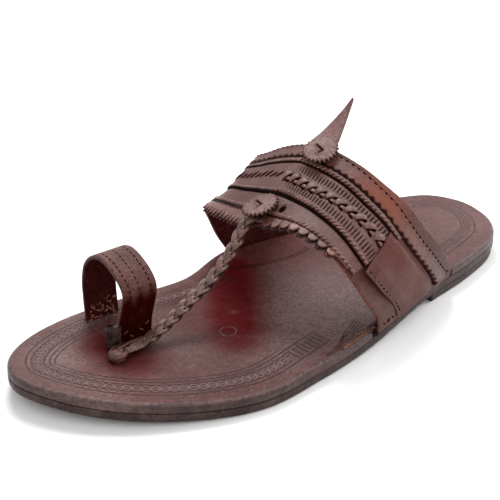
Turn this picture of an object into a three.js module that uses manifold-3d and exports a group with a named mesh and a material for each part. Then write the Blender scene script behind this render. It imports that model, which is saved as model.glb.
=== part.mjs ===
// Leather toe-loop sandal for the left foot, in millimetres.
// The toe points along -Y, the big toe is on the -X side and +Z is up.
// The origin is on the floor, in the middle of the tread under the ball of the foot.
import * as THREE from 'three';
import { mergeVertices } from 'three/addons/utils/BufferGeometryUtils.js';
import Module from 'manifold-3d';

const wasm = await Module();
wasm.setup();

// Sole
const sole_length = 280;
const sole_width = 107;
const outsole_thickness = 4.1;
const insole_thickness = 4.0;
const heel_lift_thickness = 4.2;
const toe_spring = 6.0;
const layer_gap = 0.3;
const insole_setback = 0.5;
const edge_round = 1.3;
const slot_clearance = 0.35;

// Instep band
const band_wall = 2.0;
const overlay_thickness = 1.2;
const strap_thickness = 1.7;
const patch_thickness = 1.9;
const front_crest_height = 44;
const rear_crest_height = 63;
const scallop_pitch = 6.4;
const scallop_depth = 2.6;
const pinking_pitch = 4.2;
const pinking_depth = 2.4;
const slit_pitch = 3.7;
const slit_width = 1.4;
const slit_length = 4.6;
const slit_depth = 1.1;
const lace_width = 3.2;
const lace_length = 7.2;
const lace_height = 1.3;
const lace_pitch = 5.2;
const vent_diameter = 3.2;
const cord_rise = 0.7;
const groove_depth = 1.1;

// Rosettes and spike
const rosette_diameter = 18.5;
const rosette_thickness = 1.3;
const rosette_teeth = 26;
const tooth_depth = 1.5;
const spike_length = 34;
const spike_width = 15;
const spike_thickness = 1.5;

// Toe loop and thong
const loop_strap_width = 17;
const loop_wall = 2.2;
const loop_width = 32.5;
const loop_height = 35.5;
const strand_width = 3.9;
const strand_thickness = 2.5;
const plait_width = 4.6;
const plait_pitch = 19;
const post_diameter = 7.6;
const post_height = 10;
const knot_diameter = 10;

// Where the shoe bends, as shares of the sole's length from the heel
const tread_station = 0.67;
const shank_front = 0.62;
const shank_back = 0.24;
const spring_start = 0.72;
const breast_station = 0.30;

const sole_outline = [
  { station: 0.0, inner: 0.1, outer: -0.1 },
  { station: 0.025, inner: 0.272, outer: 0.112 },
  { station: 0.08, inner: 0.356, outer: 0.243 },
  { station: 0.18, inner: 0.419, outer: 0.319 },
  { station: 0.32, inner: 0.423, outer: 0.371 },
  { station: 0.49, inner: 0.5, outer: 0.461 },
  { station: 0.61, inner: 0.417, outer: 0.494 },
  { station: 0.73, inner: 0.446, outer: 0.5 },
  { station: 0.84, inner: 0.441, outer: 0.386 },
  { station: 0.925, inner: 0.37, outer: 0.224 },
  { station: 0.98, inner: 0.258, outer: 0.035 },
  { station: 1.0, inner: 0.128, outer: -0.128 },
];

// Ribs of the band from the inner foot to the outer foot: across is a share of the sole's
// width, station a share of its length and rise a share of the crest above the insole.
const front_foot = { inner: 0.476, outer: 0.477 };
const rear_foot = { inner: 0.314, outer: 0.252 };
const front_rib = [
  { across: -0.532, station: 0.5, rise: 0.19 },
  { across: -0.54, station: 0.514, rise: 0.4 },
  { across: -0.508, station: 0.534, rise: 0.6 },
  { across: -0.385, station: 0.552, rise: 0.7 },
  { across: -0.235, station: 0.564, rise: 0.765 },
  { across: -0.093, station: 0.572, rise: 0.85 },
  { across: 0.047, station: 0.568, rise: 0.94 },
  { across: 0.168, station: 0.564, rise: 0.985 },
  { across: 0.3, station: 0.559, rise: 0.94 },
  { across: 0.392, station: 0.555, rise: 0.855 },
  { across: 0.45, station: 0.543, rise: 0.68 },
  { across: 0.476, station: 0.522, rise: 0.44 },
  { across: 0.482, station: 0.492, rise: 0.16 },
];
const rear_rib = [
  { across: -0.49, station: 0.33, rise: 0.16 },
  { across: -0.515, station: 0.37, rise: 0.42 },
  { across: -0.477, station: 0.412, rise: 0.7 },
  { across: -0.375, station: 0.418, rise: 0.81 },
  { across: -0.262, station: 0.417, rise: 0.91 },
  { across: -0.13, station: 0.416, rise: 0.98 },
  { across: -0.01, station: 0.412, rise: 0.985 },
  { across: 0.11, station: 0.4, rise: 0.91 },
  { across: 0.215, station: 0.388, rise: 0.81 },
  { across: 0.315, station: 0.368, rise: 0.68 },
  { across: 0.362, station: 0.332, rise: 0.45 },
  { across: 0.378, station: 0.292, rise: 0.24 },
  { across: 0.363, station: 0.262, rise: 0.08 },
];

// Layers on the band: along runs from the inner foot (0) to the outer foot (1), and back
// from the front rib (0) to the rear rib (1).
const layers = {
  scallops: { from: 0.2, to: 0.76, front: 0.004, back: 0.095 },
  front_strip: { from: 0.165, to: 0.775, front: 0.115, back: 0.25 },
  woven: { from: 0.165, to: 0.775, front: 0.27, back: 0.725 },
  pinked: { from: 0.03, to: 0.97, front: 0.79, back: 0.9 },
  inner_patch: { from: 0.02, to: 0.155, front: 0.11, back: 0.74 },
  outer_patch: { from: 0.785, to: 0.98, front: 0.11, back: 0.74 },
};
const patch_slant = 0.11;
const cord_lines = { front: 0.288, rear: 0.636, groove: 0.668, half: 0.016 };
const slit_lines = [0.372, 0.55];
const lace_line = 0.462;
const pattern_lead = 0.012;
const slit_turn = 0.12;
const lace_turn = 1.0;
const lace_taper = 0.72;
const edge_fade = 0.02;
const vent_place = { along: 0.525, back: 0.18 };
const front_rosette_place = { along: 0.475, back: 0.125 };
const rear_rosette_place = { along: 0.512, back: 0.86 };

// Leaf under the rear rosette: each value is a share of its own length or width
const spike_tuck = 0.12;
const spike_outline = [
  { run: 0, width: 0.8, lift: 0 },
  { run: 0.2, width: 1, lift: 0 },
  { run: 0.38, width: 0.92, lift: 0 },
  { run: 0.58, width: 0.62, lift: 0.04 },
  { run: 0.8, width: 0.3, lift: 0.12 },
  { run: 1.0, width: 0.03, lift: 0.22 },
];

// Toe loop's section, seen from the toe: across is a share of its width from its outer
// leg, and rise a share of its height.
const loop_middle = { across: -0.238, station: 0.7875 };
const loop_section = [
  { across: 0.95, rise: 0.3 },
  { across: 0.95, rise: 0.56 },
  { across: 0.88, rise: 0.79 },
  { across: 0.72, rise: 0.94 },
  { across: 0.52, rise: 1.0 },
  { across: 0.28, rise: 0.94 },
  { across: 0.06, rise: 0.8 },
  { across: 0.0, rise: 0.68 },
  { across: 0.05, rise: 0.47 },
  { across: 0.12, rise: 0.24 },
];
const loop_feet = { inner: 0.92, outer: 0.15 };

// Thong from the toe to just before the band: shares of the sole's width and length, and of
// the front crest's height.
const thong_route = [
  { across: -0.03, station: 0.824, rise: 0.075 },
  { across: -0.033, station: 0.8, rise: 0.085 },
  { across: -0.037, station: 0.772, rise: 0.13 },
  { across: -0.041, station: 0.742, rise: 0.21 },
  { across: -0.045, station: 0.707, rise: 0.32 },
  { across: -0.048, station: 0.668, rise: 0.445 },
  { across: -0.052, station: 0.637, rise: 0.585 },
  { across: -0.056, station: 0.611, rise: 0.75 },
];
const thong_end_along = 0.466;
const strand_swell = 0.32;
const knot_place = { across: -0.021, station: 0.848 };
const post_place = { across: -0.106, station: 0.833 };
const knot_shape = { across: 0.9, along: 1, rise: 0.72 };
const post_profile = [
  { radius: 0.9, rise: 0 },
  { radius: 1.0, rise: 0.25 },
  { radius: 0.86, rise: 0.5 },
  { radius: 0.92, rise: 0.8 },
  { radius: 0.7, rise: 1 },
];

// Heights above the band's outer face of what lies on its layers
const overlay_top = layer_gap + overlay_thickness;
const spike_seat = overlay_top + layer_gap;
const rear_rosette_seat = spike_seat + spike_thickness + 2 * layer_gap;
const front_rosette_seat = overlay_top + layer_gap + strand_thickness + layer_gap;

// How finely each shape is divided
const outline_steps = 480;
const rib_samples = 600;
const sole_steps = 34;
const rib_steps = 40;
const band_steps = 6;
const loop_steps = 30;
const strand_steps = 29;
const strand_sides = 6;
const round_sides = 12;
const round_rings = 8;
const closest_stations = 0.004;

const smooth = (low, high, value) => {
  const u = THREE.MathUtils.clamp((value - low) / (high - low), 0, 1);
  return u * u * (3 - 2 * u);
};
const stationY = (station) => (tread_station - station) * sole_length;
const stationOf = (y) => tread_station - y / sole_length;

// Height of the underside of the outsole above the floor
function soleLift(station) {
  const u = THREE.MathUtils.clamp((station - spring_start) / (1 - spring_start), 0, 1);
  const raised = 1 - smooth(shank_back, shank_front, station);
  return (heel_lift_thickness + layer_gap) * raised + toe_spring * u * u;
}
const outsoleTop = (station) => soleLift(station) + outsole_thickness;
const insoleBottom = (station) => outsoleTop(station) + layer_gap;
const insoleTop = (station) => insoleBottom(station) + insole_thickness;

function outlineCurve() {
  const points = [];
  const last = sole_outline.length - 1;
  for (let i = 0; i <= last; i++) {
    const row = sole_outline[i];
    points.push(new THREE.Vector3(-row.inner * sole_width, stationY(row.station), 0));
  }
  for (let i = last - 1; i > 0; i--) {
    const row = sole_outline[i];
    points.push(new THREE.Vector3(row.outer * sole_width, stationY(row.station), 0));
  }
  return new THREE.CatmullRomCurve3(points, true, 'centripetal').getSpacedPoints(outline_steps);
}
const outline_points = outlineCurve();

// Edge of the sole at a station: x on the inner (-1) or outer (+1) side
function soleEdge(side, station) {
  const y = stationY(THREE.MathUtils.clamp(station, 0, 1));
  let best = null;
  for (let i = 0; i < outline_points.length - 1; i++) {
    const a = outline_points[i];
    const b = outline_points[i + 1];
    if ((a.y - y) * (b.y - y) > 0 || a.y === b.y) continue;
    const x = a.x + ((b.x - a.x) * (y - a.y)) / (b.y - a.y);
    if (best === null || side * x > side * best) best = x;
  }
  return best;
}

// Closed body from a list of faces on shared points
function bodyFrom(points, faces) {
  const flat = [];
  for (const face of faces) {
    for (const index of face) flat.push(...points[index].toArray());
  }
  const geometry = new THREE.BufferGeometry();
  geometry.setAttribute('position', new THREE.Float32BufferAttribute(flat, 3));
  return geometry;
}

function toManifold(geometry) {
  const bare = geometry.clone();
  bare.deleteAttribute('normal');
  bare.deleteAttribute('uv');
  const merged = mergeVertices(bare, 1e-4);
  const vertProperties = new Float32Array(merged.attributes.position.array);
  const triVerts = new Uint32Array(merged.index.array);
  return new wasm.Manifold(new wasm.Mesh({ numProp: 3, vertProperties, triVerts }));
}

function fromManifold(solid) {
  const mesh = solid.getMesh();
  const geometry = new THREE.BufferGeometry();
  geometry.setAttribute('position', new THREE.BufferAttribute(mesh.vertProperties, 3));
  geometry.setIndex(new THREE.BufferAttribute(mesh.triVerts, 1));
  return geometry.toNonIndexed();
}

// Stations down the sole, close together at its round ends and at each notch
function soleStations(from, to, notches) {
  const stations = [];
  for (let i = 0; i <= sole_steps; i++) stations.push((1 - Math.cos((Math.PI * i) / sole_steps)) / 2);
  stations.push(shank_back, shank_front, spring_start);
  const ramp = band_wall / sole_length;
  for (const notch of notches) {
    for (const end of [notch.from, notch.to]) stations.push(end - ramp / 2, end + ramp / 2);
  }
  const inside = stations.filter((s) => s > from + closest_stations && s < to - closest_stations);
  return [from, ...inside.sort((a, b) => a - b), to];
}

function notchDepth(side, station, notches) {
  const ramp = band_wall / sole_length / 2;
  for (const notch of notches) {
    if (notch.side !== side) continue;
    if (station > notch.from - ramp * 0.9 && station < notch.to + ramp * 0.9) return notch.depth;
  }
  return 0;
}

// A flat layer of the sole, set back from the sole's edge. rows go up its side: inset as a
// share of the rounding of the edge, and level from its underside (0) to its top (1).
function soleLayer({ from = 0, to = 1, setback = 0, rows, bottom, top, notches = [] }) {
  const stations = soleStations(from, to, notches);
  const count = stations.length;
  const points = [];
  const faces = [];
  const rim = [];
  const place = (side, i) => {
    const station = stations[i];
    const tip = station === 0 || station === 1;
    const low = Math.max(station - closest_stations, 0);
    const high = Math.min(station + closest_stations, 1);
    const run = stationY(high) - stationY(low);
    const slope = (soleEdge(side, high) - soleEdge(side, low)) / run;
    const normal = new THREE.Vector2(side, -side * slope).normalize();
    if (tip) normal.set(0, station === 0 ? 1 : -1);
    const x = tip ? (soleEdge(1, station) + soleEdge(-1, station)) / 2 : soleEdge(side, station);
    const dent = tip ? 0 : notchDepth(side, station, notches);
    if (station === to && to < 1) normal.set(side, 0);
    return { x: x - side * dent, y: stationY(station), normal };
  };
  const startsRound = from === 0;
  const endsRound = to === 1;
  for (let i = 0; i < count; i++) rim.push(place(-1, i));
  for (let i = endsRound ? count - 2 : count - 1; i > 0; i--) rim.push(place(1, i));
  if (!startsRound) rim.push(place(1, 0));
  const ring = rim.length;
  for (const row of rows) {
    for (const p of rim) {
      const inset = setback + row.inset * edge_round;
      const x = p.x - p.normal.x * inset;
      const y = p.y - p.normal.y * inset;
      const station = stationOf(y);
      const z = bottom(station) + (top(station) - bottom(station)) * row.level;
      points.push(new THREE.Vector3(x, y, z));
    }
  }
  for (let r = 0; r < rows.length - 1; r++) {
    for (let i = 0; i < ring; i++) {
      const j = (i + 1) % ring;
      const a = r * ring;
      const b = a + ring;
      faces.push([a + i, a + j, b + j], [a + i, b + j, b + i]);
    }
  }
  const partner = (i) => (ring - i) % ring;
  const cap = (base, up) => {
    for (let i = 0; i < count - 1; i++) {
      const quad = [base + i, base + i + 1, base + partner(i + 1), base + partner(i)];
      const corners = quad.filter((value, k) => quad.indexOf(value) === k);
      for (let k = 1; k < corners.length - 1; k++) {
        const face = [corners[0], corners[k], corners[k + 1]];
        faces.push(up ? face : face.reverse());
      }
    }
  };
  cap(0, false);
  cap((rows.length - 1) * ring, true);
  return bodyFrom(points, faces);
}

// Faces of a closed sheet between a top and a bottom grid of points
function sheetBody(top, bottom) {
  const rows = top.length;
  const columns = top[0].length;
  const points = [...top.flat(), ...bottom.flat()];
  const faces = [];
  const quad = (a, b, c, d) => faces.push([a, b, c], [a, c, d]);
  const upper = (i, j) => i * columns + j;
  const lower = (i, j) => rows * columns + i * columns + j;
  for (let i = 0; i < rows - 1; i++) {
    for (let j = 0; j < columns - 1; j++) {
      quad(upper(i, j), upper(i + 1, j), upper(i + 1, j + 1), upper(i, j + 1));
      quad(lower(i, j), lower(i, j + 1), lower(i + 1, j + 1), lower(i + 1, j));
    }
    quad(upper(i + 1, 0), upper(i, 0), lower(i, 0), lower(i + 1, 0));
    quad(upper(i, columns - 1), upper(i + 1, columns - 1), lower(i + 1, columns - 1), lower(i, columns - 1));
  }
  for (let j = 0; j < columns - 1; j++) {
    quad(upper(0, j), upper(0, j + 1), lower(0, j + 1), lower(0, j));
    quad(upper(rows - 1, j + 1), upper(rows - 1, j), lower(rows - 1, j), lower(rows - 1, j + 1));
  }
  return bodyFrom(points, faces);
}

// One rib of the band, from its inner foot on the outsole to its outer foot
function ribCurve(rib, foot, crest) {
  const points = [];
  const footPoint = (side, station) => {
    const x = soleEdge(side, station);
    return new THREE.Vector3(x, stationY(station), outsoleTop(station) + layer_gap);
  };
  points.push(footPoint(-1, foot.inner));
  for (const row of rib) {
    const z = insoleTop(row.station) + row.rise * crest;
    points.push(new THREE.Vector3(row.across * sole_width, stationY(row.station), z));
  }
  points.push(footPoint(1, foot.outer));
  return new THREE.CatmullRomCurve3(points, false, 'centripetal').getSpacedPoints(rib_samples);
}
const front_curve = ribCurve(front_rib, front_foot, front_crest_height);
const rear_curve = ribCurve(rear_rib, rear_foot, rear_crest_height);
const band_girth = girthOf(front_curve);

function girthOf(curve) {
  let total = 0;
  for (let i = 1; i < curve.length; i++) total += curve[i].distanceTo(curve[i - 1]);
  return total;
}

function alongCurve(curve, along) {
  const place = THREE.MathUtils.clamp(along, 0, 1) * (curve.length - 1);
  const index = Math.min(Math.floor(place), curve.length - 2);
  return curve[index].clone().lerp(curve[index + 1], place - index);
}
const bandSkin = (along, back) => alongCurve(front_curve, along).lerp(alongCurve(rear_curve, along), back);

// Frame of the band's outer face: point, directions along and back, and outward normal
function bandFrame(along, back) {
  const step = 0.004;
  const low = Math.max(along - step, 0);
  const high = Math.min(along + step, 1);
  const point = bandSkin(along, back);
  const across = bandSkin(high, back).sub(bandSkin(low, back)).normalize();
  const rearward = bandSkin(along, back + 0.02).sub(bandSkin(along, back - 0.02)).normalize();
  const normal = new THREE.Vector3().crossVectors(across, rearward).normalize();
  return { point, across, rearward, normal };
}
function bandPoint(along, back, height) {
  const { point, normal } = bandFrame(along, back);
  return point.addScaledVector(normal, height);
}

function ticks(from, to, steps) {
  const grid = [from];
  for (let k = 0; k <= steps; k++) {
    const value = k / steps;
    if (value > from + 0.3 / steps && value < to - 0.3 / steps) grid.push(value);
  }
  grid.push(to);
  return grid;
}

// A layer that follows the band between two heights above its outer face
function bandLayer({ alongs, backs, low, high, frontEdge = () => 0 }) {
  const grid = (height) => alongs.map((along) => backs.map((back, j) => {
    const shift = j === 0 ? frontEdge(along) : 0;
    return bandPoint(along, back + shift, typeof height === 'function' ? height(back) : height);
  }));
  return sheetBody(grid(high), grid(low));
}

// Box with its middle on the band, turned in the band's own plane
function bandBlock({ along, back, low, high, length, width, turn, taper = 1 }) {
  const { point, rearward, normal } = bandFrame(along, back);
  const axis = rearward.clone().applyAxisAngle(normal, turn);
  const side = new THREE.Vector3().crossVectors(normal, axis).normalize();
  const corners = [];
  for (const [height, scale] of [[low, 1], [high, taper]]) {
    for (const [u, w] of [[-1, -1], [1, -1], [1, 1], [-1, 1]]) {
      const p = point.clone().addScaledVector(normal, height);
      p.addScaledVector(axis, (u * scale * length) / 2);
      p.addScaledVector(side, (w * scale * width) / 2);
      corners.push(p);
    }
  }
  const quads = [[0, 3, 2, 1], [4, 5, 6, 7], [0, 1, 5, 4], [1, 2, 6, 5], [2, 3, 7, 6], [3, 0, 4, 7]];
  const faces = [];
  for (const q of quads) faces.push([q[0], q[1], q[2]], [q[0], q[2], q[3]]);
  return bodyFrom(corners, faces);
}

function makeOutsole() {
  const rows = [
    { inset: 0.7, level: 0 },
    { inset: 0.12, level: 0.25 },
    { inset: 0, level: 0.6 },
    { inset: 0.27, level: 1 },
  ];
  return soleLayer({ rows, bottom: soleLift, top: outsoleTop });
}

function makeHeelLift() {
  const rows = [
    { inset: 0.54, level: 0 },
    { inset: 0, level: 0.3 },
    { inset: 0, level: 1 },
  ];
  const top = (station) => soleLift(station) - layer_gap;
  return soleLayer({ to: breast_station, setback: insole_setback, rows, bottom: () => 0, top });
}

function loopSlots() {
  const slots = [];
  for (const foot of [loop_feet.inner, loop_feet.outer]) {
    const width = loop_wall + 2 * slot_clearance;
    const box = new THREE.BoxGeometry(width, loop_strap_width + 2 * slot_clearance, 6 * insole_thickness);
    const station = loop_middle.station;
    box.translate(loopX(foot), stationY(station), insoleBottom(station));
    slots.push(box);
  }
  return slots;
}

function makeInsole() {
  const depth = band_wall + layer_gap + insole_setback;
  const rear_room = (2 * layer_gap) / sole_length;
  const front_room = insole_thickness / sole_length;
  const notches = [
    { side: -1, from: rear_foot.inner - rear_room, to: front_foot.inner + front_room, depth },
    { side: 1, from: rear_foot.outer - rear_room, to: front_foot.outer + front_room, depth },
  ];
  const rows = [
    { inset: 0.38, level: 0 },
    { inset: 0, level: 0.3 },
    { inset: 0, level: 0.62 },
    { inset: 0.35, level: 0.88 },
    { inset: 1, level: 1 },
  ];
  const layer = { setback: insole_setback, rows, bottom: insoleBottom, top: insoleTop, notches };
  let solid = toManifold(soleLayer(layer));
  for (const slot of loopSlots()) solid = solid.subtract(toManifold(slot));
  return fromManifold(solid);
}

function makeBand() {
  return bandLayer({
    alongs: ticks(0, 1, rib_steps),
    backs: ticks(0, 1, band_steps),
    low: -band_wall,
    high: 0,
    frontEdge: scallopRecess,
  });
}

// The wall's own front edge steps back under the scalloped strip
function scallopRecess(along) {
  const { from, to, front } = layers.scallops;
  return front * smooth(from - edge_fade, from, along) * (1 - smooth(to, to + edge_fade, along));
}

function scallopEdge(along) {
  const turns = (along * band_girth) / scallop_pitch;
  return (-Math.abs(Math.sin(Math.PI * turns)) * scallop_depth) / bandWidth();
}
function bandWidth() {
  return bandSkin(0.5, 0).distanceTo(bandSkin(0.5, 1));
}

function makeScallops() {
  const { from, to, front, back } = layers.scallops;
  const steps = Math.round(((to - from) * band_girth) / (scallop_pitch / 4));
  const alongs = [];
  for (let i = 0; i <= steps; i++) alongs.push(from + ((to - from) * i) / steps);
  return bandLayer({
    alongs,
    backs: [front, back],
    low: layer_gap,
    high: overlay_top,
    frontEdge: scallopEdge,
  });
}

function makeFrontStrip() {
  const { from, to, front, back } = layers.front_strip;
  const strip = bandLayer({
    alongs: ticks(from, to, rib_steps),
    backs: [front, (front + back) / 2, back],
    low: layer_gap,
    high: overlay_top,
  });
  const { point, normal } = bandFrame(vent_place.along, vent_place.back);
  const reach = 4 * overlay_top;
  const drill = new THREE.CylinderGeometry(vent_diameter / 2, vent_diameter / 2, reach, round_sides);
  drill.applyQuaternion(new THREE.Quaternion().setFromUnitVectors(new THREE.Vector3(0, 1, 0), normal));
  drill.translate(point.x, point.y, point.z);
  return fromManifold(toManifold(strip).subtract(toManifold(drill)));
}

// Height of the woven strap across its width: a cord along each edge and one groove
function strapHeight(back) {
  const top = layer_gap + strap_thickness;
  const at = (line) => Math.abs(back - line) < cord_lines.half / 2;
  if (at(cord_lines.front) || at(cord_lines.rear)) return top + cord_rise;
  if (at(cord_lines.groove)) return top - groove_depth;
  return top;
}

function makeWovenStrap() {
  const { from, to, front, back } = layers.woven;
  const { half } = cord_lines;
  const backs = [front];
  for (const line of [cord_lines.front, cord_lines.rear]) backs.push(line - half, line, line + half);
  backs.push(cord_lines.groove, cord_lines.groove + half, back);
  const alongs = ticks(from, to, rib_steps);
  let solid = toManifold(bandLayer({ alongs, backs, low: layer_gap, high: strapHeight }));
  const top = layer_gap + strap_thickness;
  const start = from + pattern_lead;
  const run = to - from - 2 * pattern_lead;
  const slits = Math.floor((run * band_girth) / slit_pitch);
  for (const line of slit_lines) {
    for (let i = 0; i < slits; i++) {
      const along = start + (run * (i + 0.5)) / slits;
      const place = { along, back: line, low: top - slit_depth, high: top + slit_depth };
      const cut = bandBlock({ ...place, length: slit_length, width: slit_width, turn: slit_turn });
      solid = solid.subtract(toManifold(cut));
    }
  }
  const laces = Math.floor((run * band_girth) / lace_pitch);
  const size = { length: lace_length, width: lace_width, turn: lace_turn, taper: lace_taper };
  for (let i = 0; i < laces; i++) {
    const along = start + (run * (i + 0.5)) / laces;
    const place = { along, back: lace_line, low: top - lace_height / 2, high: top + lace_height };
    const lump = bandBlock({ ...place, ...size });
    solid = solid.add(toManifold(lump));
  }
  return fromManifold(solid);
}

function makePinkedStrip() {
  const { from, to, front, back } = layers.pinked;
  const steps = Math.round(((to - from) * band_girth) / (pinking_pitch / 2));
  const alongs = [];
  for (let i = 0; i <= steps; i++) alongs.push(from + ((to - from) * i) / steps);
  const tooth = pinking_depth / bandWidth();
  const frontEdge = (along) => (Math.round(((along - from) / (to - from)) * steps) % 2 ? -tooth : 0);
  return bandLayer({ alongs, backs: [front, back], low: layer_gap, high: overlay_top, frontEdge });
}

// Side patch over the ends of the straps; its front edge runs back towards the foot
function makePatch(layer, foot) {
  const slant = (along) => patch_slant * (1 - Math.abs(along - foot) / (layer.to - layer.from));
  return bandLayer({
    alongs: ticks(layer.from, layer.to, rib_steps),
    backs: ticks(layer.front, layer.back, band_steps),
    low: layer_gap,
    high: layer_gap + patch_thickness,
    frontEdge: slant,
  });
}

// Disc with a zigzag edge that lies on the layers of the band
function makeRosette(place, height) {
  const shape = new THREE.Shape();
  const outer = rosette_diameter / 2;
  for (let i = 0; i < rosette_teeth * 2; i++) {
    const radius = i % 2 ? outer - tooth_depth : outer;
    const angle = (Math.PI * i) / rosette_teeth;
    const x = radius * Math.cos(angle);
    const y = radius * Math.sin(angle);
    if (i === 0) shape.moveTo(x, y);
    else shape.lineTo(x, y);
  }
  shape.closePath();
  const disc = new THREE.ExtrudeGeometry(shape, { depth: rosette_thickness, bevelEnabled: false });
  const { point, across, normal } = bandFrame(place.along, place.back);
  const side = new THREE.Vector3().crossVectors(normal, across);
  const frame = new THREE.Matrix4().makeBasis(across, side, normal);
  frame.setPosition(point.addScaledVector(normal, height));
  return disc.applyMatrix4(frame);
}

// Flat leaf that starts under the rear rosette and bends up to its point
function makeSpike(low) {
  const { along, back } = rear_rosette_place;
  const { point, across, rearward, normal } = bandFrame(along, back);
  const start = point.clone().addScaledVector(normal, low);
  start.addScaledVector(rearward, -spike_tuck * spike_length);
  const grid = (height) => spike_outline.map((row) => [-1, 0, 1].map((side) => {
    const p = start.clone().addScaledVector(rearward, row.run * spike_length);
    p.addScaledVector(normal, row.lift * spike_length + height);
    return p.addScaledVector(across, (-side * row.width * spike_width) / 2);
  }));
  return sheetBody(grid(spike_thickness), grid(0));
}

function loopX(share) {
  return loop_middle.across * sole_width - (share - 0.5) * loop_width;
}

// Toe loop: a strap bent into an arch, its legs through the insole
function makeToeLoop() {
  const station = loop_middle.station;
  const floor = insoleTop(station);
  const foot = outsoleTop(station + loop_strap_width / 2 / sole_length) + layer_gap;
  const points = [new THREE.Vector3(loopX(loop_feet.inner), 0, foot)];
  points.push(new THREE.Vector3(loopX(loop_feet.inner), 0, floor + layer_gap));
  for (const row of loop_section) {
    points.push(new THREE.Vector3(loopX(row.across), 0, floor + row.rise * loop_height));
  }
  points.push(new THREE.Vector3(loopX(loop_feet.outer), 0, floor + layer_gap));
  points.push(new THREE.Vector3(loopX(loop_feet.outer), 0, foot));
  const path = new THREE.CatmullRomCurve3(points, false, 'centripetal');
  const middle = path.getSpacedPoints(loop_steps);
  const grid = (offset) => middle.map((p, i) => {
    const before = middle[Math.max(i - 1, 0)];
    const after = middle[Math.min(i + 1, loop_steps)];
    const run = after.clone().sub(before).normalize();
    const outward = new THREE.Vector3(-run.z, 0, run.x);
    const q = p.clone().addScaledVector(outward, offset);
    const y = stationY(station);
    return [-1, 0, 1].map((side) => new THREE.Vector3(q.x, y + (side * loop_strap_width) / 2, q.z));
  });
  return sheetBody(grid(loop_wall / 2), grid(-loop_wall / 2));
}

// The thong ends just in front of the rosette that hides where it meets the band
function thongEnd() {
  const { point, rearward, normal } = bandFrame(thong_end_along, 0);
  const reach = rosette_diameter / 2 - front_rosette_place.back * bandWidth() + layer_gap;
  point.addScaledVector(rearward, -reach);
  return point.addScaledVector(normal, front_rosette_seat - layer_gap);
}

function thongCurve() {
  const points = thong_route.map((row) => {
    const z = insoleTop(row.station) + row.rise * front_crest_height;
    return new THREE.Vector3(row.across * sole_width, stationY(row.station), z);
  });
  points.push(thongEnd());
  return new THREE.CatmullRomCurve3(points, false, 'centripetal');
}

// One strand of the plait: a flat strip that swings from side to side across the thong
class PlaitStrand extends THREE.Curve {
  constructor(route, phase) {
    super();
    this.route = route;
    this.phase = phase;
  }
  getPoint(t, target = new THREE.Vector3()) {
    const place = this.route.getPointAt(t);
    const run = this.route.getTangentAt(t);
    const side = new THREE.Vector3(1, 0, 0).addScaledVector(run, -run.x).normalize();
    const up = new THREE.Vector3().crossVectors(side, run).normalize();
    if (up.z < 0) up.negate();
    const angle = (2 * Math.PI * t * this.route.getLength()) / plait_pitch + this.phase;
    target.copy(place).addScaledVector(side, (Math.sin(angle) * plait_width) / 2);
    return target.addScaledVector(up, Math.sin(2 * angle) * strand_thickness * strand_swell);
  }
}

function makeThong() {
  const route = thongCurve();
  const strand = new THREE.Shape();
  for (let i = 0; i < strand_sides; i++) {
    const angle = (2 * Math.PI * (i + 0.5)) / strand_sides;
    const x = (Math.cos(angle) * strand_thickness) / 2;
    const y = (Math.sin(angle) * strand_width) / 2;
    if (i === 0) strand.moveTo(x, y);
    else strand.lineTo(x, y);
  }
  strand.closePath();
  let solid = null;
  for (let k = 0; k < 3; k++) {
    const path = new PlaitStrand(route, (2 * Math.PI * k) / 3);
    const sweep = { steps: strand_steps, bevelEnabled: false, extrudePath: path };
    const body = toManifold(new THREE.ExtrudeGeometry(strand, sweep));
    solid = solid ? solid.add(body) : body;
  }
  return fromManifold(solid);
}

function makeKnot() {
  const knot = new THREE.SphereGeometry(knot_diameter / 2, round_sides, round_rings);
  knot.scale(knot_shape.across, knot_shape.along, knot_shape.rise);
  const toeward = knot_place.station + knot_diameter / 2 / sole_length;
  const z = insoleTop(toeward) + layer_gap + (knot_shape.rise * knot_diameter) / 2;
  knot.translate(knot_place.across * sole_width, stationY(knot_place.station), z);
  return knot;
}

function makePost() {
  const profile = [new THREE.Vector2(0, 0)];
  for (const row of post_profile) {
    const radius = (row.radius * post_diameter) / 2;
    profile.push(new THREE.Vector2(radius, row.rise * post_height));
  }
  profile.push(new THREE.Vector2(0, post_height));
  const post = new THREE.LatheGeometry(profile, round_sides);
  post.rotateX(Math.PI / 2);
  const toeward = post_place.station + post_diameter / 2 / sole_length;
  const z = insoleTop(toeward) + layer_gap;
  post.translate(post_place.across * sole_width, stationY(post_place.station), z);
  return post;
}

const leathers = {
  sole: { color: 0x3a2622, roughness: 0.62 },
  footbed: { color: 0x6b4440, roughness: 0.42 },
  band: { color: 0x6a4038, roughness: 0.5 },
  overlay: { color: 0x77483a, roughness: 0.48 },
  lace: { color: 0x7a5548, roughness: 0.5 },
};

function leatherMesh(name, geometry, leather) {
  const material = new THREE.MeshStandardMaterial({ ...leathers[leather], metalness: 0 });
  const mesh = new THREE.Mesh(geometry, material);
  mesh.name = name;
  return mesh;
}

const { inner_patch, outer_patch } = layers;
const inner_patch_body = makePatch(inner_patch, inner_patch.from);
const outer_patch_body = makePatch(outer_patch, outer_patch.to);
const front_rosette_body = makeRosette(front_rosette_place, front_rosette_seat);
const rear_rosette_body = makeRosette(rear_rosette_place, rear_rosette_seat);

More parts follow.
